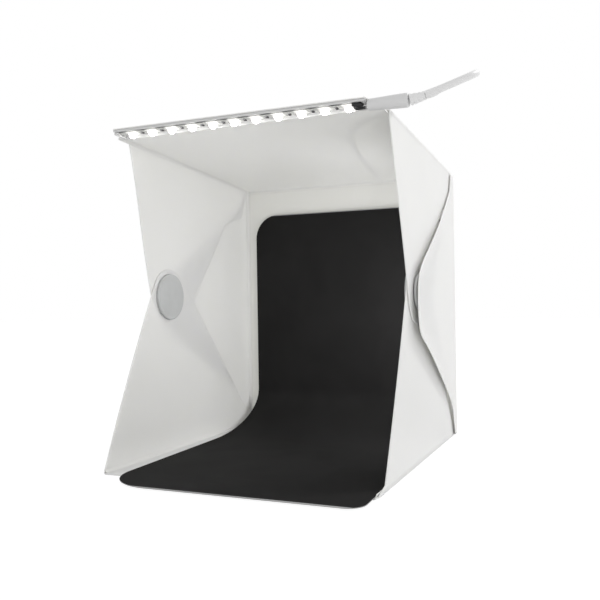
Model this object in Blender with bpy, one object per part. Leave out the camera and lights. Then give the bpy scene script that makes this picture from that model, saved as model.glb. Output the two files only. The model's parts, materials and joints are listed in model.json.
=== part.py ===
"""Folding light tent cube: white plastic panels on fold lines, a lamp strip under the roof,
magnet closures at both sides, a black curved backdrop and a USB lead."""
import math

import bmesh
import bpy
from mathutils import Vector

# Sheet and running clearances, in metres
SHEET_T = 0.0008
GAP = 0.0003

# Back, base and roof
BASE_WIDTH = 0.2032
BASE_DEPTH = 0.237
BACK_HEIGHT = 0.2355
ROOF_SETBACK = 0.0080
ROOF_RISE_SHARE = 0.064
ROOF_TAPER_LENGTH = 0.0286
ROOF_TAPER_INSET = 0.0056

# Side flaps: each ends in a round tab on the closure's axis
CLOSURE_F = 0.142
CLOSURE_Z = 0.128
TAB_R = 0.023
FLAP_CROSSING_SETBACK = 0.0155
FLAP_CROSSING_DROP = 0.0055
LOWER_FLAP_REAR = 0.003
LOWER_HEEL_F = 0.0095
LOWER_HEEL_Z = 0.012
UPPER_FLAP_REAR = 0.004
UPPER_HEEL_F = 0.0145
UPPER_HEEL_DROP = 0.0285
UPPER_STEP_SETBACK = 0.0555
UPPER_STEP_RISE = 0.0745
TAB_ARC_STEPS = 28

# Rear webs: outline as shares of their reach and of the back's height, top to bottom
WEB_NOSE_MARGIN = 0.0155
WEB_OUTLINE_SHARES = (
    (0.0, 0.990), (0.076, 0.945), (0.235, 0.870), (0.342, 0.826), (0.457, 0.780),
    (0.686, 0.702), (0.889, 0.635), (0.975, 0.588), (1.0, 0.528), (0.987, 0.458),
    (0.940, 0.412), (0.765, 0.358), (0.489, 0.263), (0.171, 0.146), (0.0, 0.050),
)
WEB_CURVE_STEPS = 4

# Magnet closures
MAGNET_R = 0.010
MAGNET_T = 0.001
FLAP_COVER_R = 0.019
FLAP_COVER_T = 0.0022
WEB_COVER_R = 0.013
WEB_COVER_T = 0.0018
COVER_EDGE = 0.0006
ROUND_STEPS = 48

# Lamp bar under the roof's front edge
BAR_DEPTH = 0.014
BAR_HEIGHT = 0.0032
BAR_WALL = 0.0008
STRIP_WIDTH = 0.008
STRIP_T = 0.0003
LED_PITCH = 0.01667
LED_SIZE = 0.005
LED_HEIGHT = 0.0014
LED_WELL_R = 0.0021
LED_WELL_DEPTH = 0.0004
LED_WELL_STEPS = 16
RESISTOR_LENGTH = 0.0032
RESISTOR_WIDTH = 0.0016
RESISTOR_HEIGHT = 0.0006
END_CAP_LENGTH = 0.002

# Power socket in the bar's right end, and the plug in it
SOCKET_RECESS = 0.003
SOCKET_LENGTH = 0.0065
SOCKET_WIDTH = 0.009
PIN_R = 0.00045
PIN_LENGTH = 0.009
PLUG_NOSE_R = 0.00175
PLUG_R = 0.0045
PLUG_NOSE_LENGTH = 0.0115
PLUG_LENGTH = 0.0265
PLUG_EDGE = 0.0012
PLUG_STEPS = 32
RELIEF_START_R = 0.0038
RELIEF_END_R = 0.0026
RELIEF_LENGTH = 0.0095
RELIEF_TILT = math.radians(9.0)
RELIEF_RIBS = 3
RELIEF_RIB_DEPTH = 0.0005

# Lead
CORD_D = 0.0045
CORD_STEP = CORD_D * 2
COIL_MEAN_D = 0.050
COIL_CLEAR = 0.0005
COIL_TURNS = 3.5
COIL_LOOP_POINTS = 24
COIL_TAIL = 0.022
COIL_X = -0.014
COIL_F = -0.0460
FLOOR_CLEAR = 0.0001
USB_GRIP_WIDTH = 0.016
USB_GRIP_HEIGHT = 0.0075
USB_NECK_LENGTH = 0.010
USB_GRIP_LENGTH = 0.024
USB_SHELL_WIDTH = 0.012
USB_SHELL_HEIGHT = 0.0045
USB_SHELL_LENGTH = 0.0150
USB_SHELL_WALL = 0.0003
USB_TONGUE_T = 0.0014
USB_TONGUE_SETBACK = 0.0015

# Backdrop and the fastener pads that hold its top edge
BACKDROP_SIDE_CLEAR = 0.0076
BACKDROP_TOP_CLEAR = 0.0265
BACKDROP_OVERHANG = 0.028
BACKDROP_SHIFT = 0.001
BACKDROP_SKEW_SHARE = 0.026
BACKDROP_T = 0.0005
BACKDROP_CORNER_R = 0.023
CORNER_STEPS = 8
COVE_HEIGHT = 0.036
COVE_RUN = 0.095
COVE_HANDLE_SHARES = (0.44, 0.48)
COVE_STEPS = 14
PAD_WIDTH = 0.020
PAD_HEIGHT = 0.012
PAD_T = 0.0008
PAD_INSET = 0.018
PAD_DROP = 0.004

# Sizes that follow from those above
ROOF_LENGTH = BASE_DEPTH - ROOF_SETBACK
ROOF_TAPER_START = ROOF_LENGTH - ROOF_TAPER_LENGTH
ROOF_FRONT_WIDTH = BASE_WIDTH - ROOF_TAPER_INSET * 2
FLAP_CROSSING_F = CLOSURE_F - TAB_R - FLAP_CROSSING_SETBACK
FLAP_CROSSING_Z = CLOSURE_Z - FLAP_CROSSING_DROP
WEB_REACH = CLOSURE_F + WEB_NOSE_MARGIN
BAR_LENGTH = ROOF_FRONT_WIDTH
LED_HALF_ROW = BAR_LENGTH / 2 - SOCKET_RECESS - SOCKET_LENGTH - GAP - LED_SIZE / 2
LED_COUNT = 2 * math.floor(LED_HALF_ROW / LED_PITCH) + 1
BACKDROP_WIDTH = BASE_WIDTH - BACKDROP_SIDE_CLEAR * 2
BACKDROP_TOP = BACK_HEIGHT - BACKDROP_TOP_CLEAR
BACKDROP_FRONT = BASE_DEPTH + BACKDROP_OVERHANG

# Layers from the middle outwards, and the place of the back in depth
LOWER_IN = BASE_WIDTH / 2 + GAP
LOWER_OUT = LOWER_IN + SHEET_T
ROOF_HALF = LOWER_OUT
UPPER_IN = ROOF_HALF + GAP
UPPER_OUT = UPPER_IN + SHEET_T
WEB_IN = UPPER_OUT + GAP
WEB_OUT = WEB_IN + SHEET_T
ROOF_SLOPE = math.atan(ROOF_RISE_SHARE)
ROOF_PIVOT_Z = BACK_HEIGHT - SHEET_T
FLAP_PIVOT_Z = SHEET_T + GAP
WEB_LEAN = math.atan((WEB_COVER_T + GAP) / (CLOSURE_F - WEB_COVER_R))
BACK_Y = (BACKDROP_FRONT - SHEET_T) / 2

# The lead's route from the plug to the coil: x, distance ahead of the back, z
CORD_ROUTE = (
    (0.1415, 0.2220, 0.2504), (0.1480, 0.2220, 0.2524), (0.1587, 0.2173, 0.2573),
    (0.1616, 0.2060, 0.2623), (0.1550, 0.1947, 0.2642), (0.1427, 0.1900, 0.2623),
    (0.1336, 0.1885, 0.2602), (0.1210, 0.1870, 0.2578), (0.1080, 0.1850, 0.2566),
    (0.0940, 0.1810, 0.2554), (0.0800, 0.1735, 0.2529), (0.0680, 0.1610, 0.2502),
    (0.0585, 0.1400, 0.2478), (0.0520, 0.1100, 0.2455),
    (0.0465, 0.0750, 0.2434), (0.0425, 0.0400, 0.2414), (0.0402, 0.0160, 0.2408),
    (0.0395, 0.0050, 0.2404), (0.0390, -0.0045, 0.2374), (0.0386, -0.0104, 0.2300),
    (0.0384, -0.0124, 0.2200), (0.0382, -0.0120, 0.1800), (0.0380, -0.0112, 0.1200),
    (0.0378, -0.0112, 0.0700), (0.0370, -0.0120, 0.0450), (0.0320, -0.0138, 0.0240),
    (0.0190, -0.0158, 0.0112), (0.0040, -0.0166, 0.0074),
)


def clear_scene():
    for old in list(bpy.data.objects):
        bpy.data.objects.remove(old, do_unlink=True)


def finish_material(name, color, roughness, metallic=0.0):
    material = bpy.data.materials.new(name)
    material.use_nodes = True
    shader = material.node_tree.nodes["Principled BSDF"]
    shader.inputs["Base Color"].default_value = (*color, 1.0)
    shader.inputs["Roughness"].default_value = roughness
    shader.inputs["Metallic"].default_value = metallic
    material.diffuse_color = (*color, 1.0)
    return material


def make_materials():
    return {
        "sheet": finish_material("white_sheet", (0.82, 0.82, 0.81), 0.45),
        "cover": finish_material("grey_cover", (0.52, 0.54, 0.57), 0.4),
        "magnet": finish_material("magnet_nickel", (0.7, 0.7, 0.72), 0.25, 1.0),
        "bar": finish_material("bar_white", (0.75, 0.75, 0.75), 0.4),
        "strip": finish_material("strip_board", (0.85, 0.85, 0.83), 0.5),
        "led": finish_material("led_package", (0.95, 0.93, 0.8), 0.3),
        "resistor": finish_material("resistor_body", (0.06, 0.06, 0.07), 0.4),
        "lead": finish_material("white_lead", (0.72, 0.72, 0.72), 0.45),
        "socket": finish_material("socket_black", (0.03, 0.03, 0.035), 0.5),
        "backdrop": finish_material("black_backdrop", (0.02, 0.02, 0.023), 0.45),
        "hook": finish_material("hook_tape", (0.7, 0.7, 0.7), 0.9),
        "metal": finish_material("plug_metal", (0.75, 0.75, 0.77), 0.25, 1.0),
        "tongue": finish_material("plug_tongue", (0.8, 0.8, 0.8), 0.5),
    }


def hinge_frame(name, location, rotation=(0.0, 0.0, 0.0)):
    """An empty on a fold line, which carries the pieces that turn about it."""
    empty = bpy.data.objects.new(name, None)
    empty.location = location
    empty.rotation_euler = rotation
    bpy.context.collection.objects.link(empty)
    return empty


def add_object(name, shape, material, parent=None, smooth=False):
    """Turn a bmesh into a named object with outward faces."""
    bmesh.ops.recalc_face_normals(shape, faces=shape.faces)
    mesh = bpy.data.meshes.new(name)
    shape.to_mesh(mesh)
    shape.free()
    mesh.materials.append(material)
    if smooth:
        mesh.shade_smooth()
        mesh.set_sharp_from_angle(angle=math.radians(35))
    piece = bpy.data.objects.new(name, mesh)
    piece.parent = parent
    bpy.context.collection.objects.link(piece)
    return piece


def prism(outline, start, end, place):
    """Extrude a flat outline; place(a, b, depth) gives the point in space."""
    shape = bmesh.new()
    near = [shape.verts.new(place(a, b, start)) for a, b in outline]
    far = [shape.verts.new(place(a, b, end)) for a, b in outline]
    shape.faces.new(near)
    shape.faces.new(list(reversed(far)))
    count = len(outline)
    for i in range(count):
        j = (i + 1) % count
        shape.faces.new((near[i], near[j], far[j], far[i]))
    return shape


def upright(forward, up, x):
    return Vector((x, -forward, up))


def level(x, forward, z):
    return Vector((x, -forward, z))


def rectangle(low_a, high_a, low_b, high_b):
    return [(low_a, low_b), (high_a, low_b), (high_a, high_b), (low_a, high_b)]


def turned(profile, steps):
    """Revolve (x, radius) points about X; a point of radius zero is a pole."""
    shape = bmesh.new()
    rings = []
    for x, radius in profile:
        if radius == 0:
            rings.append([shape.verts.new((x, 0, 0))])
            continue
        ring = []
        for k in range(steps):
            angle = math.tau * k / steps
            point = (x, radius * math.cos(angle), radius * math.sin(angle))
            ring.append(shape.verts.new(point))
        rings.append(ring)
    for first, second in zip(rings, rings[1:]):
        for k in range(steps):
            n = (k + 1) % steps
            if len(first) == 1:
                shape.faces.new((first[0], second[k], second[n]))
            elif len(second) == 1:
                shape.faces.new((first[k], second[0], first[n]))
            else:
                shape.faces.new((first[k], second[k], second[n], first[n]))
    return shape


def smooth_curve(points, steps):
    """Points of a Catmull-Rom curve through the given ones."""
    ends = [points[0] * 2 - points[1], *points, points[-1] * 2 - points[-2]]
    curve = []
    for a, b, c, d in zip(ends, ends[1:], ends[2:], ends[3:]):
        for k in range(steps):
            t = k / steps
            bend = (a * 2 - b * 5 + c * 4 - d) * t * t + (b * 3 - a - c * 3 + d) * t * t * t
            curve.append((b * 2 + (c - a) * t + bend) / 2)
    curve.append(points[-1].copy())
    return curve


def tangent_point(corner, centre, radius, side):
    """Where a line from a corner touches a circle, on its left (1) or right (-1)."""
    reach = centre - corner
    offset = math.asin(radius / reach.length)
    length = math.sqrt(reach.length ** 2 - radius ** 2)
    angle = math.atan2(reach.y, reach.x) + side * offset
    return corner + Vector((math.cos(angle), math.sin(angle))) * length


def flap_outline(rear, front, centre, crossing, heels, side):
    """Hinge line, front edge, round tab and rear edge of one side flap."""
    start = tangent_point(front, centre, TAB_R, -side)
    end = tangent_point(crossing, centre, TAB_R, side)
    first = math.atan2(start.y - centre.y, start.x - centre.x)
    last = math.atan2(end.y - centre.y, end.x - centre.x)
    sweep = (last - first) * side % math.tau * side
    outline = [rear, front]
    for k in range(TAB_ARC_STEPS + 1):
        angle = first + sweep * k / TAB_ARC_STEPS
        outline.append(centre + Vector((math.cos(angle), math.sin(angle))) * TAB_R)
    outline += [crossing, *heels]
    return [(point.x, point.y) for point in outline]


def roof_local(forward, z):
    """A place in the side plane, seen from the roof's fold line along its slope."""
    rise = z - ROOF_PIVOT_Z
    along = forward * math.cos(ROOF_SLOPE) + rise * math.sin(ROOF_SLOPE)
    return Vector((along, rise * math.cos(ROOF_SLOPE) - forward * math.sin(ROOF_SLOPE)))


def side_name(side):
    return "right" if side > 0 else "left"


def cover_profile(radius, thickness):
    """A shallow cup that holds a magnet, open towards the panel at x = 0."""
    floor = MAGNET_T + GAP
    return [
        (floor, 0), (floor, MAGNET_R + GAP), (0, MAGNET_R + GAP), (0, radius),
        (thickness - COVER_EDGE, radius), (thickness - COVER_EDGE / 3, radius - COVER_EDGE / 3),
        (thickness, radius - COVER_EDGE), (thickness, 0),
    ]


def add_closure(owner, side, face_x, centre, radius, thickness, materials, parent):
    """Magnet and cover on a panel's inner face, at the closure's axis."""
    cover = turned(cover_profile(radius, thickness), ROUND_STEPS)
    magnet = turned([(0, 0), (0, MAGNET_R), (MAGNET_T, MAGNET_R), (MAGNET_T, 0)], ROUND_STEPS)
    names = (f"{owner}_cover_{side_name(side)}", f"{owner}_magnet_{side_name(side)}")
    for name, shape, key in zip(names, (cover, magnet), ("cover", "magnet")):
        piece = add_object(name, shape, materials[key], parent, smooth=True)
        piece.location = (side * face_x, -centre.x, centre.y)
        piece.rotation_euler.z = math.pi if side > 0 else 0.0


def add_back(materials):
    outline = rectangle(-UPPER_OUT, UPPER_OUT, 0, BACK_HEIGHT)
    shape = prism(outline, 0, -SHEET_T, lambda x, z, f: level(x, f, z))
    panel = add_object("back_panel", shape, materials["sheet"])
    panel.location.y = BACK_Y
    return panel


def roof_outline():
    front_half = ROOF_FRONT_WIDTH / 2
    return [
        (-ROOF_HALF, GAP), (ROOF_HALF, GAP), (ROOF_HALF, ROOF_TAPER_START),
        (front_half, ROOF_LENGTH), (-front_half, ROOF_LENGTH), (-ROOF_HALF, ROOF_TAPER_START),
    ]


def add_roof(materials):
    frame = hinge_frame("roof_fold_line", (0, BACK_Y, ROOF_PIVOT_Z), (-ROOF_SLOPE, 0, 0))
    shape = prism(roof_outline(), 0, SHEET_T, level)
    add_object("roof_panel", shape, materials["sheet"], frame)
    return frame


def add_base(materials):
    frame = hinge_frame("base_fold_line", (0, BACK_Y, SHEET_T))
    half = BASE_WIDTH / 2
    shape = prism(rectangle(-half, half, GAP, BASE_DEPTH), -SHEET_T, 0, level)
    add_object("base_panel", shape, materials["sheet"], frame)


def add_lower_flap(side, materials):
    frame = hinge_frame(
        f"lower_flap_line_{side_name(side)}", (side * LOWER_IN, BACK_Y, FLAP_PIVOT_Z)
    )
    drop = Vector((0, FLAP_PIVOT_Z))
    centre = Vector((CLOSURE_F, CLOSURE_Z)) - drop
    crossing = Vector((FLAP_CROSSING_F, FLAP_CROSSING_Z)) - drop
    heels = [Vector((LOWER_HEEL_F, LOWER_HEEL_Z)) - drop]
    rear = Vector((LOWER_FLAP_REAR, 0)) - drop
    outline = flap_outline(rear, Vector((BASE_DEPTH, 0)) - drop, centre, crossing, heels, 1)
    shape = prism(outline, 0, side * SHEET_T, upright)
    add_object(f"lower_flap_{side_name(side)}", shape, materials["sheet"], frame)
    add_closure("flap", side, -GAP, centre, FLAP_COVER_R, FLAP_COVER_T, materials, frame)


def add_upper_flap(side, materials, roof_frame):
    frame = hinge_frame(f"upper_flap_line_{side_name(side)}", (side * UPPER_OUT, 0, SHEET_T))
    frame.parent = roof_frame
    drop = Vector((0, SHEET_T))
    centre = roof_local(CLOSURE_F, CLOSURE_Z) - drop
    crossing = roof_local(FLAP_CROSSING_F, FLAP_CROSSING_Z) - drop
    step_f = FLAP_CROSSING_F - UPPER_STEP_SETBACK
    step = roof_local(step_f, FLAP_CROSSING_Z + UPPER_STEP_RISE) - drop
    heel = roof_local(UPPER_HEEL_F, BACK_HEIGHT - UPPER_HEEL_DROP) - drop
    rear = Vector((UPPER_FLAP_REAR, 0))
    front = Vector((ROOF_TAPER_START, 0))
    outline = flap_outline(rear, front, centre, crossing, [step, heel], -1)
    shape = prism(outline, 0, -side * SHEET_T, upright)
    add_object(f"upper_flap_{side_name(side)}", shape, materials["sheet"], frame)


def web_outline():
    """Petal-shaped rear web: a smooth curve, closed by its straight fold line."""
    points = [Vector((WEB_REACH * a, BACK_HEIGHT * b)) for a, b in WEB_OUTLINE_SHARES]
    return [(max(p.x, 0), p.y) for p in smooth_curve(points, WEB_CURVE_STEPS)]


def add_rear_web(side, materials):
    frame = hinge_frame(
        f"web_line_{side_name(side)}", (side * WEB_OUT, BACK_Y + SHEET_T, 0), (0, 0, side * WEB_LEAN)
    )
    shape = prism(web_outline(), 0, -side * SHEET_T, upright)
    add_object(f"rear_web_{side_name(side)}", shape, materials["sheet"], frame)
    centre = Vector((CLOSURE_F, CLOSURE_Z))
    face = -SHEET_T - GAP
    add_closure("web", side, face, centre, WEB_COVER_R, WEB_COVER_T, materials, frame)


def bar_levels():
    """Heights below the roof's underside: bar top, strip top, strip foot, LED top, bar foot."""
    top = -GAP
    strip_top = top - BAR_WALL - GAP
    strip_foot = strip_top - STRIP_T
    return top, strip_top, strip_foot, strip_foot - GAP, top - BAR_HEIGHT


def across(forward, z, x):
    return Vector((x, -forward, z))


def add_bar(materials, frame):
    top, _, _, _, foot = bar_levels()
    rear = ROOF_LENGTH - BAR_DEPTH
    outline = [
        (rear, top), (ROOF_LENGTH, top), (ROOF_LENGTH, foot), (ROOF_LENGTH - BAR_WALL, foot),
        (ROOF_LENGTH - BAR_WALL, top - BAR_WALL), (rear + BAR_WALL, top - BAR_WALL),
        (rear + BAR_WALL, foot), (rear, foot),
    ]
    shape = prism(outline, -BAR_LENGTH / 2, BAR_LENGTH / 2, across)
    add_object("led_profile", shape, materials["bar"], frame)
    inner = rectangle(rear + BAR_WALL + GAP, ROOF_LENGTH - BAR_WALL - GAP, foot, top - BAR_WALL - GAP)
    start = -BAR_LENGTH / 2 + GAP
    shape = prism(inner, start, start + END_CAP_LENGTH, across)
    add_object("led_end_cap", shape, materials["bar"], frame)


def bar_middle():
    return ROOF_LENGTH - BAR_DEPTH / 2


def block(size):
    shape = bmesh.new()
    bmesh.ops.create_cube(shape, size=1.0)
    bmesh.ops.scale(shape, vec=size, verts=shape.verts)
    return shape


def led_shape():
    """A lamp package whose lower face has a round well for the lens."""
    half = LED_SIZE / 2
    shape = bmesh.new()
    corners = [(-half, -half), (half, -half), (half, half), (-half, half)]
    top = [shape.verts.new((x, y, 0)) for x, y in corners]
    foot = [shape.verts.new((x, y, -LED_HEIGHT)) for x, y in corners]
    shape.faces.new(top)
    for i in range(4):
        shape.faces.new((top[i], top[(i + 1) % 4], foot[(i + 1) % 4], foot[i]))
    rim = []
    floor = []
    for k in range(LED_WELL_STEPS):
        angle = math.tau * k / LED_WELL_STEPS - math.pi * 3 / 4
        x = LED_WELL_R * math.cos(angle)
        y = LED_WELL_R * math.sin(angle)
        rim.append(shape.verts.new((x, y, -LED_HEIGHT)))
        floor.append(shape.verts.new((x, y, LED_WELL_DEPTH - LED_HEIGHT)))
    quarter = LED_WELL_STEPS // 4
    for i in range(4):
        arc = [rim[(i * quarter + k) % LED_WELL_STEPS] for k in range(quarter + 1)]
        shape.faces.new([foot[i], *arc, foot[(i + 1) % 4]])
    for k in range(LED_WELL_STEPS):
        n = (k + 1) % LED_WELL_STEPS
        shape.faces.new((rim[k], rim[n], floor[n], floor[k]))
    shape.faces.new(floor)
    return shape


def strip_span():
    """Left and right end of the lamp strip, between end cap and socket."""
    left = -BAR_LENGTH / 2 + END_CAP_LENGTH + GAP * 2
    right = BAR_LENGTH / 2 - SOCKET_RECESS - SOCKET_LENGTH - GAP
    return left, right


def add_lamps(materials, frame):
    _, strip_top, strip_foot, led_top, _ = bar_levels()
    left, right = strip_span()
    middle = bar_middle()
    half = STRIP_WIDTH / 2
    shape = prism(rectangle(middle - half, middle + half, strip_foot, strip_top), left, right, across)
    add_object("led_strip", shape, materials["strip"], frame)
    first = -LED_PITCH * (LED_COUNT - 1) / 2
    for k in range(LED_COUNT):
        lamp = add_object(f"led_{k + 1:02d}", led_shape(), materials["led"], frame)
        lamp.location = (first + LED_PITCH * k, -middle, led_top)
    size = Vector((RESISTOR_WIDTH, RESISTOR_LENGTH, RESISTOR_HEIGHT))
    for k in range(LED_COUNT - 1):
        chip = add_object(f"led_resistor_{k + 1:02d}", block(size), materials["resistor"], frame)
        chip.location = (first + LED_PITCH * (k + 1 / 2), -middle, led_top - RESISTOR_HEIGHT / 2)


def socket_axis():
    """Distance along the roof and height of the plug's axis."""
    top, strip_top, _, _, foot = bar_levels()
    return bar_middle(), (strip_top + foot) / 2


def add_socket(materials, frame):
    forward, z = socket_axis()
    _, strip_top, _, _, foot = bar_levels()
    end = BAR_LENGTH / 2 - SOCKET_RECESS
    half = SOCKET_WIDTH / 2
    slot = PIN_R + GAP
    outline = [
        (forward - half, strip_top), (forward + half, strip_top), (forward + half, foot),
        (forward + slot, foot), (forward + slot, z + slot), (forward - slot, z + slot),
        (forward - slot, foot), (forward - half, foot),
    ]
    shape = prism(outline, end - SOCKET_LENGTH, end, across)
    add_object("power_socket", shape, materials["socket"], frame)


def plug_profile():
    tip = -PIN_LENGTH
    return [
        (tip, 0), (tip, PIN_R), (0, PIN_R), (0, PLUG_NOSE_R),
        (PLUG_NOSE_LENGTH, PLUG_R), (PLUG_LENGTH - PLUG_EDGE, PLUG_R),
        (PLUG_LENGTH, PLUG_R - PLUG_EDGE), (PLUG_LENGTH, 0),
    ]


def relief_profile():
    """Tapered sleeve with shallow ring grooves."""
    profile = [(0, 0), (0, RELIEF_START_R)]
    pitch = RELIEF_LENGTH / (RELIEF_RIBS * 2 + 1)
    fall = (RELIEF_START_R - RELIEF_END_R) / RELIEF_LENGTH
    for k in range(RELIEF_RIBS):
        start = pitch * (2 * k + 1)
        end = start + pitch
        profile.append((start, RELIEF_START_R - fall * start))
        profile.append((start, RELIEF_START_R - fall * start - RELIEF_RIB_DEPTH))
        profile.append((end, RELIEF_START_R - fall * end - RELIEF_RIB_DEPTH))
        profile.append((end, RELIEF_START_R - fall * end))
    return profile + [(RELIEF_LENGTH, RELIEF_END_R), (RELIEF_LENGTH, 0)]


def roof_to_world(x, forward, z):
    """From the roof's own directions to the standing frame."""
    y = -forward * math.cos(ROOF_SLOPE) + z * math.sin(ROOF_SLOPE)
    rise = forward * math.sin(ROOF_SLOPE) + z * math.cos(ROOF_SLOPE)
    return Vector((x, BACK_Y + y, ROOF_PIVOT_Z + rise))


def relief_direction():
    return Vector((math.cos(RELIEF_TILT), 0, math.sin(RELIEF_TILT)))


def add_plug(materials):
    """Plug in the bar's end and the sleeve behind it; gives where the lead starts."""
    start = roof_to_world(BAR_LENGTH / 2 + GAP, *socket_axis())
    plug = add_object("power_plug", turned(plug_profile(), PLUG_STEPS), materials["lead"], None, True)
    plug.location = start
    lift = PLUG_R * math.sin(RELIEF_TILT) + GAP
    sleeve_start = start + Vector((PLUG_LENGTH + lift, 0, 0))
    shape = turned(relief_profile(), PLUG_STEPS)
    sleeve = add_object("plug_strain_relief", shape, materials["lead"], None, True)
    sleeve.location = sleeve_start
    sleeve.rotation_euler.y = -RELIEF_TILT
    return sleeve_start + relief_direction() * (RELIEF_LENGTH + GAP)


def even_points(points, step):
    """Points about one step apart along a line through close points."""
    lengths = [(b - a).length for a, b in zip(points, points[1:])]
    count = max(2, round(sum(lengths) / step))
    spacing = sum(lengths) / count
    result = [points[0]]
    walked = 0.0
    target = spacing
    for point, after, length in zip(points, points[1:], lengths):
        while length > 0 and walked + length >= target and len(result) < count:
            result.append(point.lerp(after, (target - walked) / length))
            target += spacing
        walked += length
    result.append(points[-1])
    return result


def tube(name, points, resolution, material):
    curve = bpy.data.curves.new(name, "CURVE")
    curve.dimensions = "3D"
    curve.bevel_depth = CORD_D / 2
    curve.bevel_resolution = resolution
    curve.use_fill_caps = True
    spline = curve.splines.new("POLY")
    spline.points.add(len(points) - 1)
    for item, point in zip(spline.points, points):
        item.co = (*point, 1.0)
    curve.materials.append(material)
    piece = bpy.data.objects.new(name, curve)
    bpy.context.collection.objects.link(piece)
    return piece


def coil_centre():
    return Vector((COIL_X, BACK_Y - COIL_F))


def coil_points():
    """Two piled layers, inwards above and outwards below, with straight ends."""
    pitch = CORD_D + COIL_CLEAR
    turn_back = COIL_TURNS / 2
    least = COIL_MEAN_D / 2 - pitch * turn_back / 2
    low = CORD_D / 2 + FLOOR_CLEAR
    centre = coil_centre()
    points = []
    steps = round(COIL_TURNS * COIL_LOOP_POINTS)
    for k in range(steps + 1):
        turns = k / COIL_LOOP_POINTS
        fall = min(max((turns - turn_back) * 2 + 1 / 2, 0), 1)
        fall = fall * fall * (3 - 2 * fall)
        radius = least + pitch * abs(turns - turn_back)
        angle = -math.pi / 2 - math.tau * turns
        x = centre.x + radius * math.cos(angle)
        y = centre.y + radius * math.sin(angle)
        points.append(Vector((x, y, low + pitch * (1 - fall))))
    first = points[0] + Vector((CORD_D, 0, 0))
    tail = [points[-1] + Vector((COIL_TAIL * k / 2, 0, 0)) for k in (1, 2)]
    return [first, *points, *tail]


def least_self_gap(points):
    """Smallest clear distance between stretches of the wound lead that lie a turn apart."""
    least = COIL_MEAN_D
    apart = COIL_LOOP_POINTS // 2
    for i, a in enumerate(points):
        for b, c in zip(points[i + apart:], points[i + apart + 1:]):
            run = c - b
            along = min(max((a - b).dot(run) / run.length_squared, 0), 1)
            least = min(least, (b + run * along - a).length)
    return least - CORD_D


def add_lead(materials, start):
    coil = coil_points()
    print(f"least gap of the coil to itself: {least_self_gap(coil):.5f}")
    tube("usb_coil", coil, 1, materials["lead"])
    route = [start, start + relief_direction() * CORD_D]
    route += [Vector((x, BACK_Y - f, z)) for x, f, z in CORD_ROUTE]
    end = coil[0] + Vector((GAP, 0, 0))
    route += [end + Vector((CORD_D, 0, 0)), end]
    points = even_points(smooth_curve(route, 8), CORD_STEP)
    points[-2] = end + Vector((CORD_D, 0, 0))
    tube("usb_cord", points, 2, materials["lead"])
    lengths = [sum((b - a).length for a, b in zip(p, p[1:])) for p in (points, coil)]
    print(f"lead: {lengths[0]:.4f} free, {lengths[1]:.4f} wound, {len(points)} points")
    add_usb_plug(materials, coil[-1])


def rounded_section(x, half_y, half_z, z, power, steps=24):
    ring = []
    for k in range(steps):
        angle = math.tau * k / steps
        c = math.cos(angle)
        s = math.sin(angle)
        y = half_y * math.copysign(abs(c) ** power, c)
        ring.append(Vector((x, y, z + half_z * math.copysign(abs(s) ** power, s))))
    return ring


def lofted(sections):
    shape = bmesh.new()
    rings = [[shape.verts.new(point) for point in ring] for ring in sections]
    shape.faces.new(rings[0])
    shape.faces.new(list(reversed(rings[-1])))
    for first, second in zip(rings, rings[1:]):
        for k in range(len(first)):
            n = (k + 1) % len(first)
            shape.faces.new((first[k], first[n], second[n], second[k]))
    return shape


def add_usb_plug(materials, end):
    """Flat plug on the floor beside the coil: moulded grip, metal shell and tongue."""
    neck_r = CORD_D / 2
    middle = USB_GRIP_HEIGHT / 2 + FLOOR_CLEAR - end.z
    half_y = USB_GRIP_WIDTH / 2
    half_z = USB_GRIP_HEIGHT / 2
    total = USB_NECK_LENGTH + USB_GRIP_LENGTH
    shape = lofted([
        rounded_section(0, neck_r, neck_r, 0, 1.0),
        rounded_section(USB_NECK_LENGTH * 0.8, neck_r * 1.2, neck_r * 1.2, middle, 0.9),
        rounded_section(USB_NECK_LENGTH, half_y * 0.9, half_z * 0.9, middle, 0.45),
        rounded_section(USB_NECK_LENGTH * 1.15, half_y, half_z, middle, 0.4),
        rounded_section(total - GAP * 2, half_y, half_z, middle, 0.4),
        rounded_section(total, half_y - GAP, half_z - GAP, middle, 0.4),
    ])
    grip = add_object("usb_grip", shape, materials["lead"], None, True)
    grip.location = end + Vector((GAP, 0, 0))
    shell_start = grip.location + Vector((total + GAP, 0, middle))
    outer = rectangle(-USB_SHELL_WIDTH / 2, USB_SHELL_WIDTH / 2, -USB_SHELL_HEIGHT / 2, USB_SHELL_HEIGHT / 2)
    shell = add_object("usb_shell", cup_box(outer, USB_SHELL_WALL, USB_SHELL_LENGTH), materials["metal"])
    shell.location = shell_start
    half_y = USB_SHELL_WIDTH / 2 - USB_SHELL_WALL - GAP
    top = USB_SHELL_HEIGHT / 2 - USB_SHELL_WALL - GAP
    start = USB_SHELL_WALL + GAP
    shape = prism(
        rectangle(-half_y, half_y, top - USB_TONGUE_T, top),
        start, USB_SHELL_LENGTH - USB_TONGUE_SETBACK, lambda y, z, x: Vector((x, y, z)),
    )
    tongue = add_object("usb_tongue", shape, materials["tongue"])
    tongue.location = shell_start


def cup_box(outline, wall, length):
    """A box along X that is open at its far end."""
    shape = bmesh.new()
    shrink = [(y - math.copysign(wall, y), z - math.copysign(wall, z)) for y, z in outline]
    rings = []
    for ring, x in ((outline, 0), (outline, length), (shrink, length), (shrink, wall)):
        rings.append([shape.verts.new((x, y, z)) for y, z in ring])
    for first, second in zip(rings, rings[1:]):
        for k in range(4):
            n = (k + 1) % 4
            shape.faces.new((first[k], first[n], second[n], second[k]))
    shape.faces.new(rings[0])
    shape.faces.new(rings[-1])
    return shape


def backdrop_rear():
    """Distance ahead of the back at which the backdrop hangs."""
    return PAD_T * 2 + GAP * 3


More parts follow.
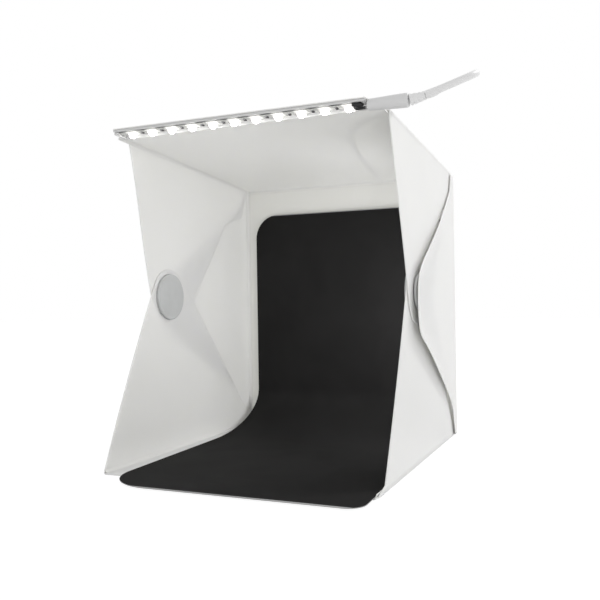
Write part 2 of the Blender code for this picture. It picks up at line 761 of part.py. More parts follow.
def backdrop_path():
    """Rear surface of the backdrop from its top edge to its front edge: forward, z."""
    rear = backdrop_rear()
    floor = SHEET_T + GAP
    top = Vector((rear, COVE_HEIGHT))
    foot = Vector((COVE_RUN, floor))
    drop, run = COVE_HANDLE_SHARES
    first = Vector((rear, COVE_HEIGHT * drop))
    second = Vector((COVE_RUN * run, floor))
    path = []
    for k in range(CORNER_STEPS + 1):
        turn = math.pi / 2 * k / CORNER_STEPS
        path.append(Vector((rear, BACKDROP_TOP - BACKDROP_CORNER_R * (1 - math.cos(turn)))))
    for k in range(COVE_STEPS + 1):
        t = k / COVE_STEPS
        s = 1 - t
        point = top * s ** 3 + first * 3 * s * s * t + second * 3 * s * t * t + foot * t ** 3
        path.append(point)
    for k in range(CORNER_STEPS + 1):
        turn = math.pi / 2 * k / CORNER_STEPS
        forward = BACKDROP_FRONT - BACKDROP_CORNER_R * (1 - math.sin(turn))
        path.append(Vector((forward, floor)))
    return path


def add_backdrop(materials):
    path = backdrop_path()
    lengths = [(b - a).length for a, b in zip(path, path[1:])]
    total = sum(lengths)
    print(f"backdrop: {total:.4f} long, {BACKDROP_WIDTH:.4f} wide when flat")
    shape = bmesh.new()
    rows = []
    walked = 0.0
    for k, point in enumerate(path):
        before = path[max(k - 1, 0)]
        after = path[min(k + 1, len(path) - 1)]
        run = (after - before).normalized()
        normal = Vector((-run.y, run.x))
        inset = max(BACKDROP_CORNER_R - min(walked, total - walked), 0)
        half = BACKDROP_WIDTH / 2 - BACKDROP_CORNER_R
        half += math.sqrt(max(BACKDROP_CORNER_R ** 2 - inset ** 2, 0))
        front = point + normal * BACKDROP_T
        middle = BACKDROP_SHIFT + BACKDROP_SKEW_SHARE * point.x
        row = [level(middle - half, *point), level(middle + half, *point)]
        row += [level(middle + half, *front), level(middle - half, *front)]
        rows.append([shape.verts.new(corner) for corner in row])
        if k < len(lengths):
            walked += lengths[k]
    for first, second in zip(rows, rows[1:]):
        for k in range(4):
            n = (k + 1) % 4
            shape.faces.new((first[k], first[n], second[n], second[k]))
    shape.faces.new(rows[0])
    shape.faces.new(rows[-1])
    backdrop = add_object("backdrop", shape, materials["backdrop"], None, True)
    backdrop.location.y = BACK_Y


def add_pads(materials):
    """Hook pads on the back and loop pads on the backdrop, in pairs."""
    for side in (-1, 1):
        middle = BACKDROP_SHIFT + side * (BACKDROP_WIDTH / 2 - PAD_INSET - PAD_WIDTH / 2)
        high = BACKDROP_TOP - PAD_DROP
        outline = rectangle(middle - PAD_WIDTH / 2, middle + PAD_WIDTH / 2, high - PAD_HEIGHT, high)
        for name, start in (("hook_pad", GAP), ("loop_pad", GAP * 2 + PAD_T)):
            shape = prism(outline, start, start + PAD_T, lambda x, z, f: level(x, f, z))
            pad = add_object(f"{name}_{side_name(side)}", shape, materials["hook"])
            pad.location.y = BACK_Y


def build():
    clear_scene()
    materials = make_materials()
    add_back(materials)
    add_base(materials)
    roof_frame = add_roof(materials)
    for side in (-1, 1):
        add_lower_flap(side, materials)
        add_upper_flap(side, materials, roof_frame)
        add_rear_web(side, materials)
    add_bar(materials, roof_frame)
    add_lamps(materials, roof_frame)
    add_socket(materials, roof_frame)
    add_backdrop(materials)
    add_pads(materials)
    add_lead(materials, add_plug(materials))


build()
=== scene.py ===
"""Folding light tent cube: white plastic panels on creased folds, round magnet closures,
a lamp bar under the roof's front edge, a black curved backdrop and a white USB lead."""
import json
import math

import bmesh
import bpy
from bpy.props import FloatProperty, FloatVectorProperty, PointerProperty
from mathutils import Matrix, Vector


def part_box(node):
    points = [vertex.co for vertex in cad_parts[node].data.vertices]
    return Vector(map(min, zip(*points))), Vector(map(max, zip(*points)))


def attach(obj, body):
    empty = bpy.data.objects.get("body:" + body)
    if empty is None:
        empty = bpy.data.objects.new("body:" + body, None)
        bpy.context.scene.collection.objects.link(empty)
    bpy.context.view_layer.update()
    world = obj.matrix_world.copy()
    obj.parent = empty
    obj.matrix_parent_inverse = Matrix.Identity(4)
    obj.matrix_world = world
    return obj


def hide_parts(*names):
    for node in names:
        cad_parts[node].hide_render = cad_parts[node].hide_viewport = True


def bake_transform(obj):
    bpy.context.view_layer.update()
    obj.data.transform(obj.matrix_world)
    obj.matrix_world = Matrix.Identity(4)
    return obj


bl_info = {
    "name": "Folding Light Tent",
    "version": (1, 0, 0),
    "blender": (4, 5, 0),
    "location": "View3D > Sidebar > Light Tent",
    "description": "Builds the panels, closures, lamp bar, backdrop and lead of a folding light tent",
    "category": "Object",
}

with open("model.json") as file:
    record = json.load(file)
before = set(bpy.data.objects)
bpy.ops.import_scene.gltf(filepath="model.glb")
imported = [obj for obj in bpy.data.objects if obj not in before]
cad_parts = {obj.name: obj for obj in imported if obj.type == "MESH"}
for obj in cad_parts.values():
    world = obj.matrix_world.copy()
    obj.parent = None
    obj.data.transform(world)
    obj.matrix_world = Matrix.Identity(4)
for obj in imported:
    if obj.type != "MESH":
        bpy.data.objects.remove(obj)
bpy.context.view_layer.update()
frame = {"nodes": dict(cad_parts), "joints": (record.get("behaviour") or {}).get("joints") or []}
JOINTS = {joint["name"]: joint for joint in frame["joints"]}

# Sizes are in metres. F is a distance forward of the back, Z a height.
# Places read from the frame
BACK_LOW, BACK_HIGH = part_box("back_panel")
BASE_LOW, BASE_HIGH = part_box("base_panel")
BAR_LOW, BAR_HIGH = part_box("led_profile")
COVER_LOW, COVER_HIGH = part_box("flap_cover_left")
BACK_Y = BACK_LOW.y
CLOSURE_F = BACK_Y - (COVER_LOW.y + COVER_HIGH.y) / 2
SHEET_T = BACK_HIGH.y - BACK_LOW.y
BACK_HEIGHT = BACK_HIGH.z
BASE_DEPTH = BACK_Y - BASE_LOW.y
ROOF_PIVOT = Vector(JOINTS["roof_fold"]["pos_m"])
FLAP_AXIS = Vector(JOINTS["left_upper_flap_open"]["axis"])
ROOF_SLOPE = math.atan2(-FLAP_AXIS.z, FLAP_AXIS.y)
ROOF_PLACE = Matrix.Translation(ROOF_PIVOT) @ Matrix.Rotation(-ROOF_SLOPE, 4, "X")
BAR_LENGTH = BAR_HIGH.x - BAR_LOW.x
GAP = 0.0003

# Corners of the webs where folds meet; the foot as pairs of F and Z
HEEL_REACH = 0.012
HEEL_HEIGHT = 0.030
WEB_FOOT = ((-0.0008, 0.0014), (0.0050, 0.0014), (0.0108, 0.0126), (0.0156, 0.0244))

# Panels
GRID_STEP = 0.005
CAP_ALIGNMENT = 0.98
CORNER_R = 0.0015
CORNER_TURN = math.radians(20)
CORNER_STEPS = 4
EDGE_ROUND = 0.00018
SHARP_ANGLE = math.radians(38)
BEVEL_ANGLE = math.radians(50)
STRAIGHT_TURN = 1e-4
CORNER_ROOM_SHARE = 0.4
SAME_PLACE = 1e-5
LEFT_SWELL = 0.0045
RIGHT_SWELL = 0.002
SWELL_HEIGHT = 0.120
WEB_CURL = 0.0011
CURL_REACH = 0.020
CURL_RUN = 0.110
FLARE_F = 0.2185
FLARE_Z = 0.0045
PANEL_WAVE = 0.00025
FIRST_WAVE = (17, 41, 23)
SECOND_WAVE = (-29, 13, 37)
WAVE_SHIFT = 1.7
WAVE_FADE = 0.018

# Creases along the folds
CREASE_WIDTH = 0.0020
INNER_CREASE_WIDTH = 0.0024
CREASE_T = 0.00025
CREASE_STEPS = 8
CREASE_STATIONS = 24
CREASE_RIM_SHARE = 0.15

# Magnet closures
CLOSURE_STEPS = 72
FLAP_COVER_T = 0.0022
WEB_COVER_T = 0.0018
MAGNET_T = 0.001
RIM_ROUND = 0.0007
RIM_WIDTH = 0.0016
GROOVE_SHARE = 1.2
FACE_SHARE = 1.6
DISH_DEPTH = 0.0001
DOME_RISE = 0.0010
DOME_STEPS = 10

# Lamp bar, strip and lamps; the painted halo of lamp light on the strip in shares of the lamps' pitch
BAR_DEPTH = 0.014
BAR_HEIGHT = 0.0032
BAR_WALL = 0.0008
BAR_ROUND = 0.00025
STRIP_WIDTH = 0.008
STRIP_T = 0.0003
STRIP_STATIONS = 12
LED_PITCH = 0.01667
LED_SIZE = 0.005
LED_HEIGHT = 0.0014
BAR_LIP = 0.0013
LENS_R = 0.0025
LENS_RISE = 0.0023
LENS_STEPS = 6
LENS_SIDES = 32
PAINTED_HALO_SHARES = (0.15, 0.32)
PAINTED_HALO_STRENGTH = 0.65
PACKAGE_GLOW = 0.8
TAB_LENGTH = 0.0009
TAB_WIDTH = 0.0011
TAB_T = 0.00018
RESISTOR_WIDTH = 0.0016
RESISTOR_BODY = 0.0022
RESISTOR_HEIGHT = 0.0006
RESISTOR_END = 0.0005
RESISTOR_END_HEIGHT = 0.00058
END_CAP_LENGTH = 0.002
SOCKET_RECESS = 0.003
SOCKET_LENGTH = 0.0065
SOCKET_WIDTH = 0.009

# Plug and sleeve
PIN_R = 0.00045
PIN_LENGTH = 0.009
PLUG_NOSE_R = 0.0038
PLUG_R = 0.0045
PLUG_NOSE_LENGTH = 0.0210
PLUG_LENGTH = 0.0265
PLUG_EDGE = 0.0012
PLUG_TAPER_START = 0.12
PLUG_TAPER_STEPS = 8
RELIEF_START_R = 0.0038
RELIEF_END_R = 0.0026
RELIEF_LENGTH = 0.0095
RELIEF_TILT = math.radians(9.0)
RELIEF_RIBS = 3
RELIEF_RIB_DEPTH = 0.00025
RELIEF_RIB_STEPS = 16
RELIEF_RIB_SQUARENESS = 0.6
TURN_STEPS = 48

# Lead; its route as x, F and Z
CORD_D = 0.0045
CORD_SIDES = 14
CORD_STEP = 0.003
CORD_CURVE_STEPS = 8
COIL_MEAN_D = 0.050
COIL_CLEAR = 0.0005
COIL_TURNS = 3.5
COIL_LOOP_POINTS = 36
COIL_TAIL = 0.022
COIL_X = -0.014
COIL_F = -0.0460
FLOOR_CLEAR = 0.0001
CORD_ROUTE = (
    (0.1415, 0.2220, 0.2504), (0.1480, 0.2220, 0.2524), (0.1587, 0.2173, 0.2573),
    (0.1616, 0.2060, 0.2623), (0.1550, 0.1947, 0.2642), (0.1427, 0.1900, 0.2623),
    (0.1336, 0.1885, 0.2602), (0.1210, 0.1870, 0.2578), (0.1080, 0.1850, 0.2566),
    (0.0940, 0.1810, 0.2554), (0.0800, 0.1735, 0.2529), (0.0680, 0.1610, 0.2502),
    (0.0585, 0.1400, 0.2478), (0.0520, 0.1100, 0.2455),
    (0.0465, 0.0750, 0.2434), (0.0425, 0.0400, 0.2414), (0.0402, 0.0160, 0.2408),
    (0.0395, 0.0050, 0.2404), (0.0390, -0.0045, 0.2374), (0.0386, -0.0104, 0.2300),
    (0.0384, -0.0124, 0.2200), (0.0382, -0.0120, 0.1800), (0.0380, -0.0112, 0.1200),
    (0.0378, -0.0112, 0.0700), (0.0370, -0.0120, 0.0450), (0.0320, -0.0138, 0.0240),
    (0.0190, -0.0158, 0.0112), (0.0040, -0.0166, 0.0074),
)

# USB plug; a contact as length, width and thickness
USB_GRIP_WIDTH = 0.016
USB_GRIP_HEIGHT = 0.0075
USB_NECK_LENGTH = 0.010
USB_GRIP_LENGTH = 0.024
USB_GRIP_SQUARENESS = 0.42
USB_NECK_STEPS = 8
USB_NECK_SWELL = (1.05, 0.35)
USB_NECK_SHARE = 0.9
USB_NECK_SQUARENESS = 0.95
USB_RIB_DEPTH = 0.00035
USB_SHOULDER = ((0.86, 0.97), (0.94, 1.02), (0.985, 1.08), (1.0, 1.18))
USB_GRIP_END = ((1.0, 0.0016), (0.985, 0.0007), (0.95, 0.0002), (0.90, 0.0))
USB_SHELL_WIDTH = 0.012
USB_SHELL_HEIGHT = 0.0045
USB_SHELL_LENGTH = 0.0150
USB_SHELL_WALL = 0.0003
USB_SHELL_ROUND = 0.00012
USB_TONGUE_T = 0.0014
USB_TONGUE_SETBACK = 0.0015
USB_CONTACT = (0.0077, 0.001, 0.00017)
USB_CONTACT_PITCH = 0.0024
USB_CONTACT_SETBACK = 0.0008
USB_CONTACT_SINK = 0.00005
USB_WINDOW = 0.0022
USB_WINDOW_SHARE = 0.6
USB_WINDOW_SETBACK = 0.0045

# Backdrop
BACKDROP_SIDE_CLEAR = 0.0076
BACKDROP_TOP_CLEAR = 0.0265
BACKDROP_OVERHANG = 0.028
BACKDROP_SHIFT = 0.001
BACKDROP_SKEW_SHARE = 0.026
BACKDROP_T = 0.0005
BACKDROP_CORNER_R = 0.023
BACKDROP_FRONT_LEFT_R = 0.038
BACKDROP_FRONT_RIGHT_R = 0.012
BACKDROP_STEP = 0.005
BACKDROP_COLUMNS = 30
BACKDROP_CORNER_STEPS = 12
BACKDROP_LOOK = 0.002
RIM_SHARE = 0.2
RIM_FACE_SHARE = 1.6
COVE_HEIGHT = 0.036
COVE_RUN = 0.095
COVE_HANDLE_SHARES = (0.44, 0.48)
COVE_STEPS = 40
PAD_T = 0.0008
PAD_ROUND = 0.00025

# Camera, from the photograph's perspective
CAMERA_PLACE = (0.2386, -0.5385, 0.1219)
CAMERA_YAW = math.radians(23.11)
CAMERA_PITCH = math.radians(0.17)
CAMERA_ROLL = math.radians(-0.88)
CAMERA_LENS = 44.34

# Light; a run goes from the light's place to its target
WORLD_STRENGTH = 0.7165
KEY_POWER = 7.8
KEY_SIZE = 0.30
KEY_RUN = ((0.72, 0.80, 1.20), (0.05, 0, 0.12))
SIDE_FILL_POWER = 0.2049
SIDE_FILL_SIZE = 0.15
SIDE_FILL_RUN = ((0.0985, 0.048, 0.108), (-0.1, 0.048, 0.108))
LAMP_POWER = 0.004
LAMP_LIGHT_SHARES = (0.9, 0.5)
LAMP_LIGHT_TILT = math.radians(25)
FLOOR_SIZE = 4.0
FLOOR_DROP = 0.0002
FLOOR_GLOW = 1.12
FLOOR_WHITE_SHARE = 0.85


class TentColours(bpy.types.PropertyGroup):
    """Colours of the tent's finishes"""

    sheet: FloatVectorProperty(
        name="Sheet", description="Colour of the white panels",
        subtype="COLOR", size=3, min=0, max=1, default=(0.86, 0.858, 0.84),
    )
    # Painted shade: a darker copy of the sheet colour, laid over the whole back panel
    painted_back_shade: FloatVectorProperty(
        name="Painted back shade", description="Colour of the shade painted on the back panel",
        subtype="COLOR", size=3, min=0, max=1, default=(0.79, 0.788, 0.77),
    )
    cover: FloatVectorProperty(
        name="Closure cover", description="Colour of the round closure covers",
        subtype="COLOR", size=3, min=0, max=1, default=(0.62, 0.63, 0.63),
    )
    backdrop: FloatVectorProperty(
        name="Backdrop", description="Colour of the curved backdrop sheet",
        subtype="COLOR", size=3, min=0, max=1, default=(0.023, 0.0225, 0.0225),
    )
    lead: FloatVectorProperty(
        name="Lead", description="Colour of the lead and its mouldings",
        subtype="COLOR", size=3, min=0, max=1, default=(0.90, 0.90, 0.90),
    )
    glow: FloatVectorProperty(
        name="Lamp glow", description="Colour of the lit lamps",
        subtype="COLOR", size=3, min=0, max=1, default=(1.0, 0.99, 0.96),
    )


class TentSizes(bpy.types.PropertyGroup):
    """Sizes that a user may change"""

    left_swell: FloatProperty(
        name="Left swell", description="How far the left side stands out at its closure",
        default=LEFT_SWELL, min=0, max=0.008, unit="LENGTH",
    )
    right_swell: FloatProperty(
        name="Right swell", description="How far the right side stands out at its closure",
        default=RIGHT_SWELL, min=0, max=0.008, unit="LENGTH",
    )
    wave: FloatProperty(
        name="Panel wave", description="Height of the slow unevenness of the panels",
        default=PANEL_WAVE, min=0, max=0.001, unit="LENGTH",
    )
    glow: FloatProperty(
        name="Glow strength", description="Strength of the lit lamps", default=13.0, min=0, max=60,
    )


def colours():
    return bpy.context.scene.light_tent_colours


def sizes():
    return bpy.context.scene.light_tent_sizes


# Shader nodes

def give(node, values):
    """Set a node's inputs by label or number."""
    for label, value in values.items():
        node.inputs[label].default_value = value


def add_node(tree, kind, values=None, **settings):
    """A new shader node with its settings, and then its input values."""
    node = tree.nodes.new("ShaderNode" + kind)
    for name, value in settings.items():
        setattr(node, name, value)
    give(node, values or {})
    return node


def join(tree, *rows):
    """Links, each one as node, output, node and input."""
    for source, output, target, entry in rows:
        tree.links.new(source.outputs[output], target.inputs[entry])


def start_group(name, inputs, outputs):
    """A new shader group with named sockets; gives the tree, its input and its output node."""
    group = bpy.data.node_groups.new(name, "ShaderNodeTree")
    for label, kind, value in inputs:
        socket = group.interface.new_socket(label, in_out="INPUT", socket_type="NodeSocket" + kind)
        socket.default_value = value
    for label, kind in outputs:
        group.interface.new_socket(label, in_out="OUTPUT", socket_type="NodeSocket" + kind)
    return group, group.nodes.new("NodeGroupInput"), group.nodes.new("NodeGroupOutput")


def grain_group():
    """Fine moulded grain over slow unevenness: a height and a mottling mask."""
    name = "moulded_grain"
    if name in bpy.data.node_groups:
        return bpy.data.node_groups[name]
    group, given, out = start_group(
        name,
        [("Grain Scale", "Float", 2600.0), ("Mottle Scale", "Float", 38.0)],
        [("Height", "Float"), ("Mottle", "Float")],
    )
    place = add_node(group, "TexCoord")
    fine = add_node(group, "TexNoise", {"Detail": 3.0, "Roughness": 0.6})
    slow = add_node(group, "TexNoise", {"Detail": 4.0, "Distortion": 0.6})
    spread = add_node(group, "MapRange", {"From Min": 0.35, "From Max": 0.65})
    join(
        group,
        (place, "Object", fine, "Vector"), (given, "Grain Scale", fine, "Scale"),
        (place, "Object", slow, "Vector"), (given, "Mottle Scale", slow, "Scale"),
        (slow, "Fac", spread, "Value"), (fine, "Fac", out, "Height"), (spread, "Result", out, "Mottle"),
    )
    return group


def wear_group():
    """Rubbed edges: a mask that follows convex edges, broken up by noise."""
    name = "rubbed_edges"
    if name in bpy.data.node_groups:
        return bpy.data.node_groups[name]
    group, given, out = start_group(
        name,
        [("Color", "Color", (1, 1, 1, 1)), ("Rubbed Color", "Color", (1, 1, 1, 1)),
         ("Amount", "Float", 0.5), ("Breakup Scale", "Float", 220.0)],
        [("Color", "Color"), ("Mask", "Float")],
    )
    shape = add_node(group, "NewGeometry")
    place = add_node(group, "TexCoord")
    edge = add_node(group, "MapRange", {"From Min": 0.52, "From Max": 0.60})
    noise = add_node(group, "TexNoise", {"Detail": 4.0})
    broken = add_node(group, "Math", operation="MULTIPLY")
    amount = add_node(group, "Math", operation="MULTIPLY")
    mix = add_node(group, "Mix", data_type="RGBA")
    join(
        group,
        (shape, "Pointiness", edge, "Value"), (place, "Object", noise, "Vector"),
        (given, "Breakup Scale", noise, "Scale"), (edge, "Result", broken, 0), (noise, "Fac", broken, 1),
        (broken, "Value", amount, 0), (given, "Amount", amount, 1), (amount, "Value", mix, "Factor"),
        (given, "Color", mix, "A"), (given, "Rubbed Color", mix, "B"), (mix, "Result", out, "Color"),
        (amount, "Value", out, "Mask"),
    )
    return group


def tinted(colour, factor):
    return tuple(min(part * factor, 1.0) for part in colour)


def moulded_finish(name, colour, roughness, grain=2600.0, mottle=38.0, bump=0.08,
                   drift=0.94, wear=0.25, metallic=0.0, rough_drift=0.06, more=None):
    """A finish with mottled tone, varied gloss, fine grain and rubbed edges; more() adds to it."""
    if name in bpy.data.materials:
        return bpy.data.materials[name]
    material = bpy.data.materials.new(name)
    material.use_nodes = True
    tree = material.node_tree
    shader = tree.nodes["Principled BSDF"]
    give(shader, {"Metallic": metallic})
    grains = add_node(tree, "Group", {"Grain Scale": grain, "Mottle Scale": mottle}, node_tree=grain_group())
    ends = {"A": (*tinted(colour, drift), 1), "B": (*colour, 1)}
    tone = add_node(tree, "Mix", ends, name="tone", data_type="RGBA")
    rubbing = {"Rubbed Color": (*tinted(colour, 1.12), 1), "Amount": wear}
    rubbed = add_node(tree, "Group", rubbing, node_tree=wear_group())
    gloss = add_node(tree, "MapRange", {"To Min": roughness - rough_drift, "To Max": roughness + rough_drift})
    relief = add_node(tree, "Bump", {"Strength": bump, "Distance": 0.0002}, name="relief")
    join(
        tree,
        (grains, "Mottle", tone, "Factor"), (tone, "Result", rubbed, "Color"),
        (rubbed, "Color", shader, "Base Color"), (grains, "Mottle", gloss, "Value"),
        (gloss, "Result", shader, "Roughness"), (grains, "Height", relief, "Height"),
        (relief, "Normal", shader, "Normal"),
    )
    if more:
        more(tree, shader)
    return material


def lay_over(tree, mask, colour):
    """Another colour over the tone, where a named mask of the mesh says so."""
    layer = add_node(tree, "Attribute", attribute_name=mask)
    over = add_node(tree, "Mix", {"B": (*colour, 1)}, data_type="RGBA")
    tone = tree.nodes["tone"]
    target = tone.outputs["Result"].links[0].to_socket
    join(tree, (layer, "Fac", over, "Factor"), (tone, "Result", over, "A"))
    tree.links.new(over.outputs["Result"], target)


# Finishes: colour, roughness and what differs from the usual moulding
PLAIN_FINISHES = {
    "bar_enamel": ((0.72, 0.72, 0.72), 0.36, {"grain": 1400.0, "mottle": 70.0, "wear": 0.5}),
    "solder_tin": ((0.62, 0.62, 0.64), 0.28,
                   {"grain": 900.0, "mottle": 500.0, "drift": 0.8, "metallic": 1.0}),
    "chip_black": ((0.03, 0.03, 0.035), 0.35,
                   {"grain": 1800.0, "mottle": 500.0, "drift": 0.7, "wear": 0.6}),
    "socket_black": ((0.022, 0.022, 0.025), 0.5,
                     {"grain": 1500.0, "mottle": 200.0, "drift": 0.75, "wear": 0.5}),
    "plated_steel": ((0.68, 0.68, 0.70), 0.24,
                     {"grain": 700.0, "mottle": 160.0, "drift": 0.88, "wear": 0.4, "metallic": 1.0}),
    "nickel_plate": ((0.63, 0.62, 0.60), 0.22,
                     {"grain": 800.0, "mottle": 140.0, "drift": 0.85, "wear": 0.5, "metallic": 1.0}),
    "tongue_white": ((0.78, 0.78, 0.78), 0.45, {"grain": 1500.0, "mottle": 200.0}),
}
LEAD_TEXTURE = {"grain": 420.0, "mottle": 60.0, "bump": 0.01, "drift": 0.98}


def plain_finish(name):
    colour, roughness, rest = PLAIN_FINISHES[name]
    return moulded_finish(name, colour, roughness, **rest)


def sheet_finish():
    """White frosted plastic sheet, with painted shade laid over it where the mask marks it: the whole back
    panel.
    """
    def more(tree, shader):
        give(shader, {"Subsurface Weight": 1.0, "Subsurface Radius": (1.0, 1.0, 0.95),
                      "Subsurface Scale": 0.0015})
        # Painted shade over the tone of the back panel
        lay_over(tree, "painted_shade_mask", colours().painted_back_shade)
    return moulded_finish("frosted_sheet", tuple(colours().sheet), 0.46, grain=1900.0, mottle=9.0,
                          bump=0.10, drift=0.975, wear=0.15, more=more)


def crease_finish():
    """The sheet's plastic where it is pressed thin along a fold."""
    return moulded_finish("pressed_fold", tinted(colours().sheet, 1.02), 0.46, grain=1900.0,
                          mottle=9.0, bump=0.05, drift=0.985, wear=0.0)


def cover_finish():
    """Slightly translucent grey moulding of the closures."""
    def more(tree, shader):
        give(shader, {"Subsurface Weight": 0.6, "Subsurface Radius": (1.0, 1.0, 1.0),
                      "Subsurface Scale": 0.001})
    return moulded_finish("closure_grey", tuple(colours().cover), 0.55, grain=1500.0, mottle=60.0,
                          bump=0.06, wear=0.1, more=more)


def strip_finish():
    """White circuit board with painted light: it glows close to each lamp, as the lamps' light falling on it.
    """
    def more(tree, shader):
        give(shader, {"Emission Color": (*colours().glow, 1)})
        place = add_node(tree, "TexCoord")
        split = add_node(tree, "SeparateXYZ")
        join(tree, (place, "Object", split, "Vector"))
        value = split.outputs["X"]
        for operation, number in (("DIVIDE", LED_PITCH), ("ADD", 0.5), ("FRACT", 0),
                                  ("SUBTRACT", 0.5), ("ABSOLUTE", 0)):
            step = add_node(tree, "Math", {1: number}, operation=operation)
            tree.links.new(value, step.inputs[0])
            value = step.outputs["Value"]
        # Painted light: emission on the board, strongest under each lamp and fading between them
        ends = {"From Min": PAINTED_HALO_SHARES[0], "From Max": PAINTED_HALO_SHARES[1],
                "To Min": PAINTED_HALO_STRENGTH, "To Max": 0.0}
        painted_halo = add_node(tree, "MapRange", ends, interpolation_type="SMOOTHSTEP")
        tree.links.new(value, painted_halo.inputs["Value"])
        join(tree, (painted_halo, "Result", shader, "Emission Strength"))
    return moulded_finish("board_white", (0.70, 0.70, 0.68), 0.4, grain=1700.0, mottle=120.0, more=more)


def package_finish():
    """White lamp package, lit through by its lamp."""
    def more(tree, shader):
        give(shader, {"Emission Color": (*colours().glow, 1), "Emission Strength": PACKAGE_GLOW})
    return moulded_finish("lamp_package", (0.82, 0.81, 0.77), 0.32, grain=1200.0, mottle=300.0, more=more)


def lens_finish():
    """Lit phosphor under the lamp's clear lens."""
    def more(tree, shader):
        give(shader, {"Emission Strength": sizes().glow})
        place = add_node(tree, "TexCoord")
        noise = add_node(tree, "TexNoise", {"Scale": 900.0})
        ends = {"A": (*tinted(colours().glow, 0.92), 1), "B": (*colours().glow, 1)}
        glow = add_node(tree, "Mix", ends, data_type="RGBA")
        join(tree, (place, "Object", noise, "Vector"), (noise, "Fac", glow, "Factor"),
             (glow, "Result", shader, "Emission Color"))
    return moulded_finish("lit_phosphor", (0.95, 0.90, 0.70), 0.2, grain=900.0, mottle=600.0, more=more)


def lead_finish():
    """Soft white moulding of the lead, its sleeve and the USB grip."""
    return moulded_finish("lead_white", tuple(colours().lead), 0.42, wear=0.0, **LEAD_TEXTURE)


def plug_finish():
    """The plug's moulding, a little greyer than the lead."""
    return moulded_finish("plug_white", tinted(colours().lead, 0.85), 0.40, wear=0.2, **LEAD_TEXTURE)


def pad_finish():
    """Hook and loop tape: a dense pile of small loops."""
    def more(tree, shader):
        place = add_node(tree, "TexCoord")
        loops = add_node(tree, "TexVoronoi", {"Scale": 1500.0})
        join(tree, (place, "Object", loops, "Vector"), (loops, "Distance", tree.nodes["relief"], "Height"))
    return moulded_finish("loop_tape", (0.66, 0.66, 0.65), 0.85, grain=2200.0, mottle=300.0,
                          bump=0.6, drift=0.82, wear=0.1, more=more)


def backdrop_finish():
    """Matt black sheet with a fine leather-like grain and a paler cut rim, painted on as a highlight."""
    def more(tree, shader):
        give(shader, {"Specular IOR Level": 0.03})
        # Painted highlight: the cut rim is pale grey, standing in for the light it catches
        lay_over(tree, "rim", (0.42, 0.42, 0.42))
    return moulded_finish("backdrop_black", tuple(colours().backdrop), 0.70, grain=1300.0, mottle=16.0,
                          bump=0.18, drift=0.82, wear=0.0, rough_drift=0.07, more=more)


# Mesh helpers

def smoothstep(value):
    value = min(max(value, 0.0), 1.0)
    return value * value * (3 - 2 * value)


def add_mesh(name, shape, materials):
    """Turn a bmesh into a named object."""
    mesh = bpy.data.meshes.new(name)
    shape.to_mesh(mesh)
    shape.free()
    for material in materials:
        mesh.materials.append(material)
    piece = bpy.data.objects.new(name, mesh)
    bpy.context.collection.objects.link(piece)
    return piece


def add_piece(name, shape, materials, place=None, smooth=True):
    """Turn a bmesh into a named object at its place, its faces outward."""
    bmesh.ops.recalc_face_normals(shape, faces=shape.faces)
    piece = add_mesh(name, shape, materials)
    if place is not None:
        piece.data.transform(place)
    if smooth:
        piece.data.shade_smooth()
        piece.data.set_sharp_from_angle(angle=SHARP_ANGLE)
    return piece


def tie(piece, body, node):
    """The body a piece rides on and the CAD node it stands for."""
    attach(piece, body)
    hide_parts(node)


def bridge(shape, rows, closed=True):
    """Faces between each row of points and the next, all the way round when closed."""
    faces = []
    for a, b in zip(rows, rows[1:]):
        for k in range(len(a) if closed else len(a) - 1):
            n = (k + 1) % len(a)
            faces.append(shape.faces.new((a[k], a[n], b[n], b[k])))
    return faces


def lofted(rows):
    """A closed solid through rings of points."""
    shape = bmesh.new()
    rings = [[shape.verts.new(point) for point in row] for row in rows]
    bridge(shape, rings)
    shape.faces.new(rings[0])
    shape.faces.new(rings[-1])
    return shape


def add_block(shape, middle, size, slot=0):
    """Add a box to a mesh; its faces get a material slot."""
    made = bmesh.ops.create_cube(shape, size=1.0)["verts"]
    bmesh.ops.scale(shape, vec=size, verts=made)
    bmesh.ops.translate(shape, vec=middle, verts=made)
    for face in {face for vertex in made for face in vertex.link_faces}:
        face.material_index = slot


def settle(piece):
    """Apply a piece's modifiers and shade it smooth up to sharp edges."""
    bpy.context.view_layer.update()
    evaluated = piece.evaluated_get(bpy.context.evaluated_depsgraph_get())
    mesh = bpy.data.meshes.new_from_object(evaluated)
    piece.modifiers.clear()
    piece.data = mesh
    mesh.shade_smooth()
    mesh.set_sharp_from_angle(angle=SHARP_ANGLE)


def bevelled(piece, width, segments=2):
    """Round a piece's sharp edges."""
    edge = piece.modifiers.new("rounded_edges", "BEVEL")
    edge.width = width
    edge.segments = segments
    edge.limit_method = "ANGLE"
    edge.angle_limit = BEVEL_ANGLE
    settle(piece)


def thickened(piece, outward, thickness):
    """Give a sheet its thickness, behind the face that looks outward."""
    if piece.data.polygons[0].normal.dot(outward) < 0:
        piece.data.flip_normals()
    wall = piece.modifiers.new("wall", "SOLIDIFY")
    wall.thickness = thickness
    wall.offset = -1
    wall.use_even_offset = True


def cap_loop(node, outward):
    """Outline of a flat CAD panel's face on its outward side, in order."""
    mesh = frame["nodes"][node].data
    onward = {}
    for face in mesh.polygons:
        if face.normal.dot(outward) < CAP_ALIGNMENT:
            continue
        corners = [tuple(round(c, 7) for c in mesh.vertices[v].co) for v in face.vertices]
        for a, b in zip(corners, corners[1:] + corners[:1]):
            if onward.get(b, set()) and a in onward[b]:
                onward[b].discard(a)
            else:
                onward.setdefault(a, set()).add(b)
    onward = {a: next(iter(b)) for a, b in onward.items() if b}
    first = next(iter(onward))
    loop = [first]
    while onward[loop[-1]] != first:
        loop.append(onward[loop[-1]])
    return [Vector(point) for point in loop]


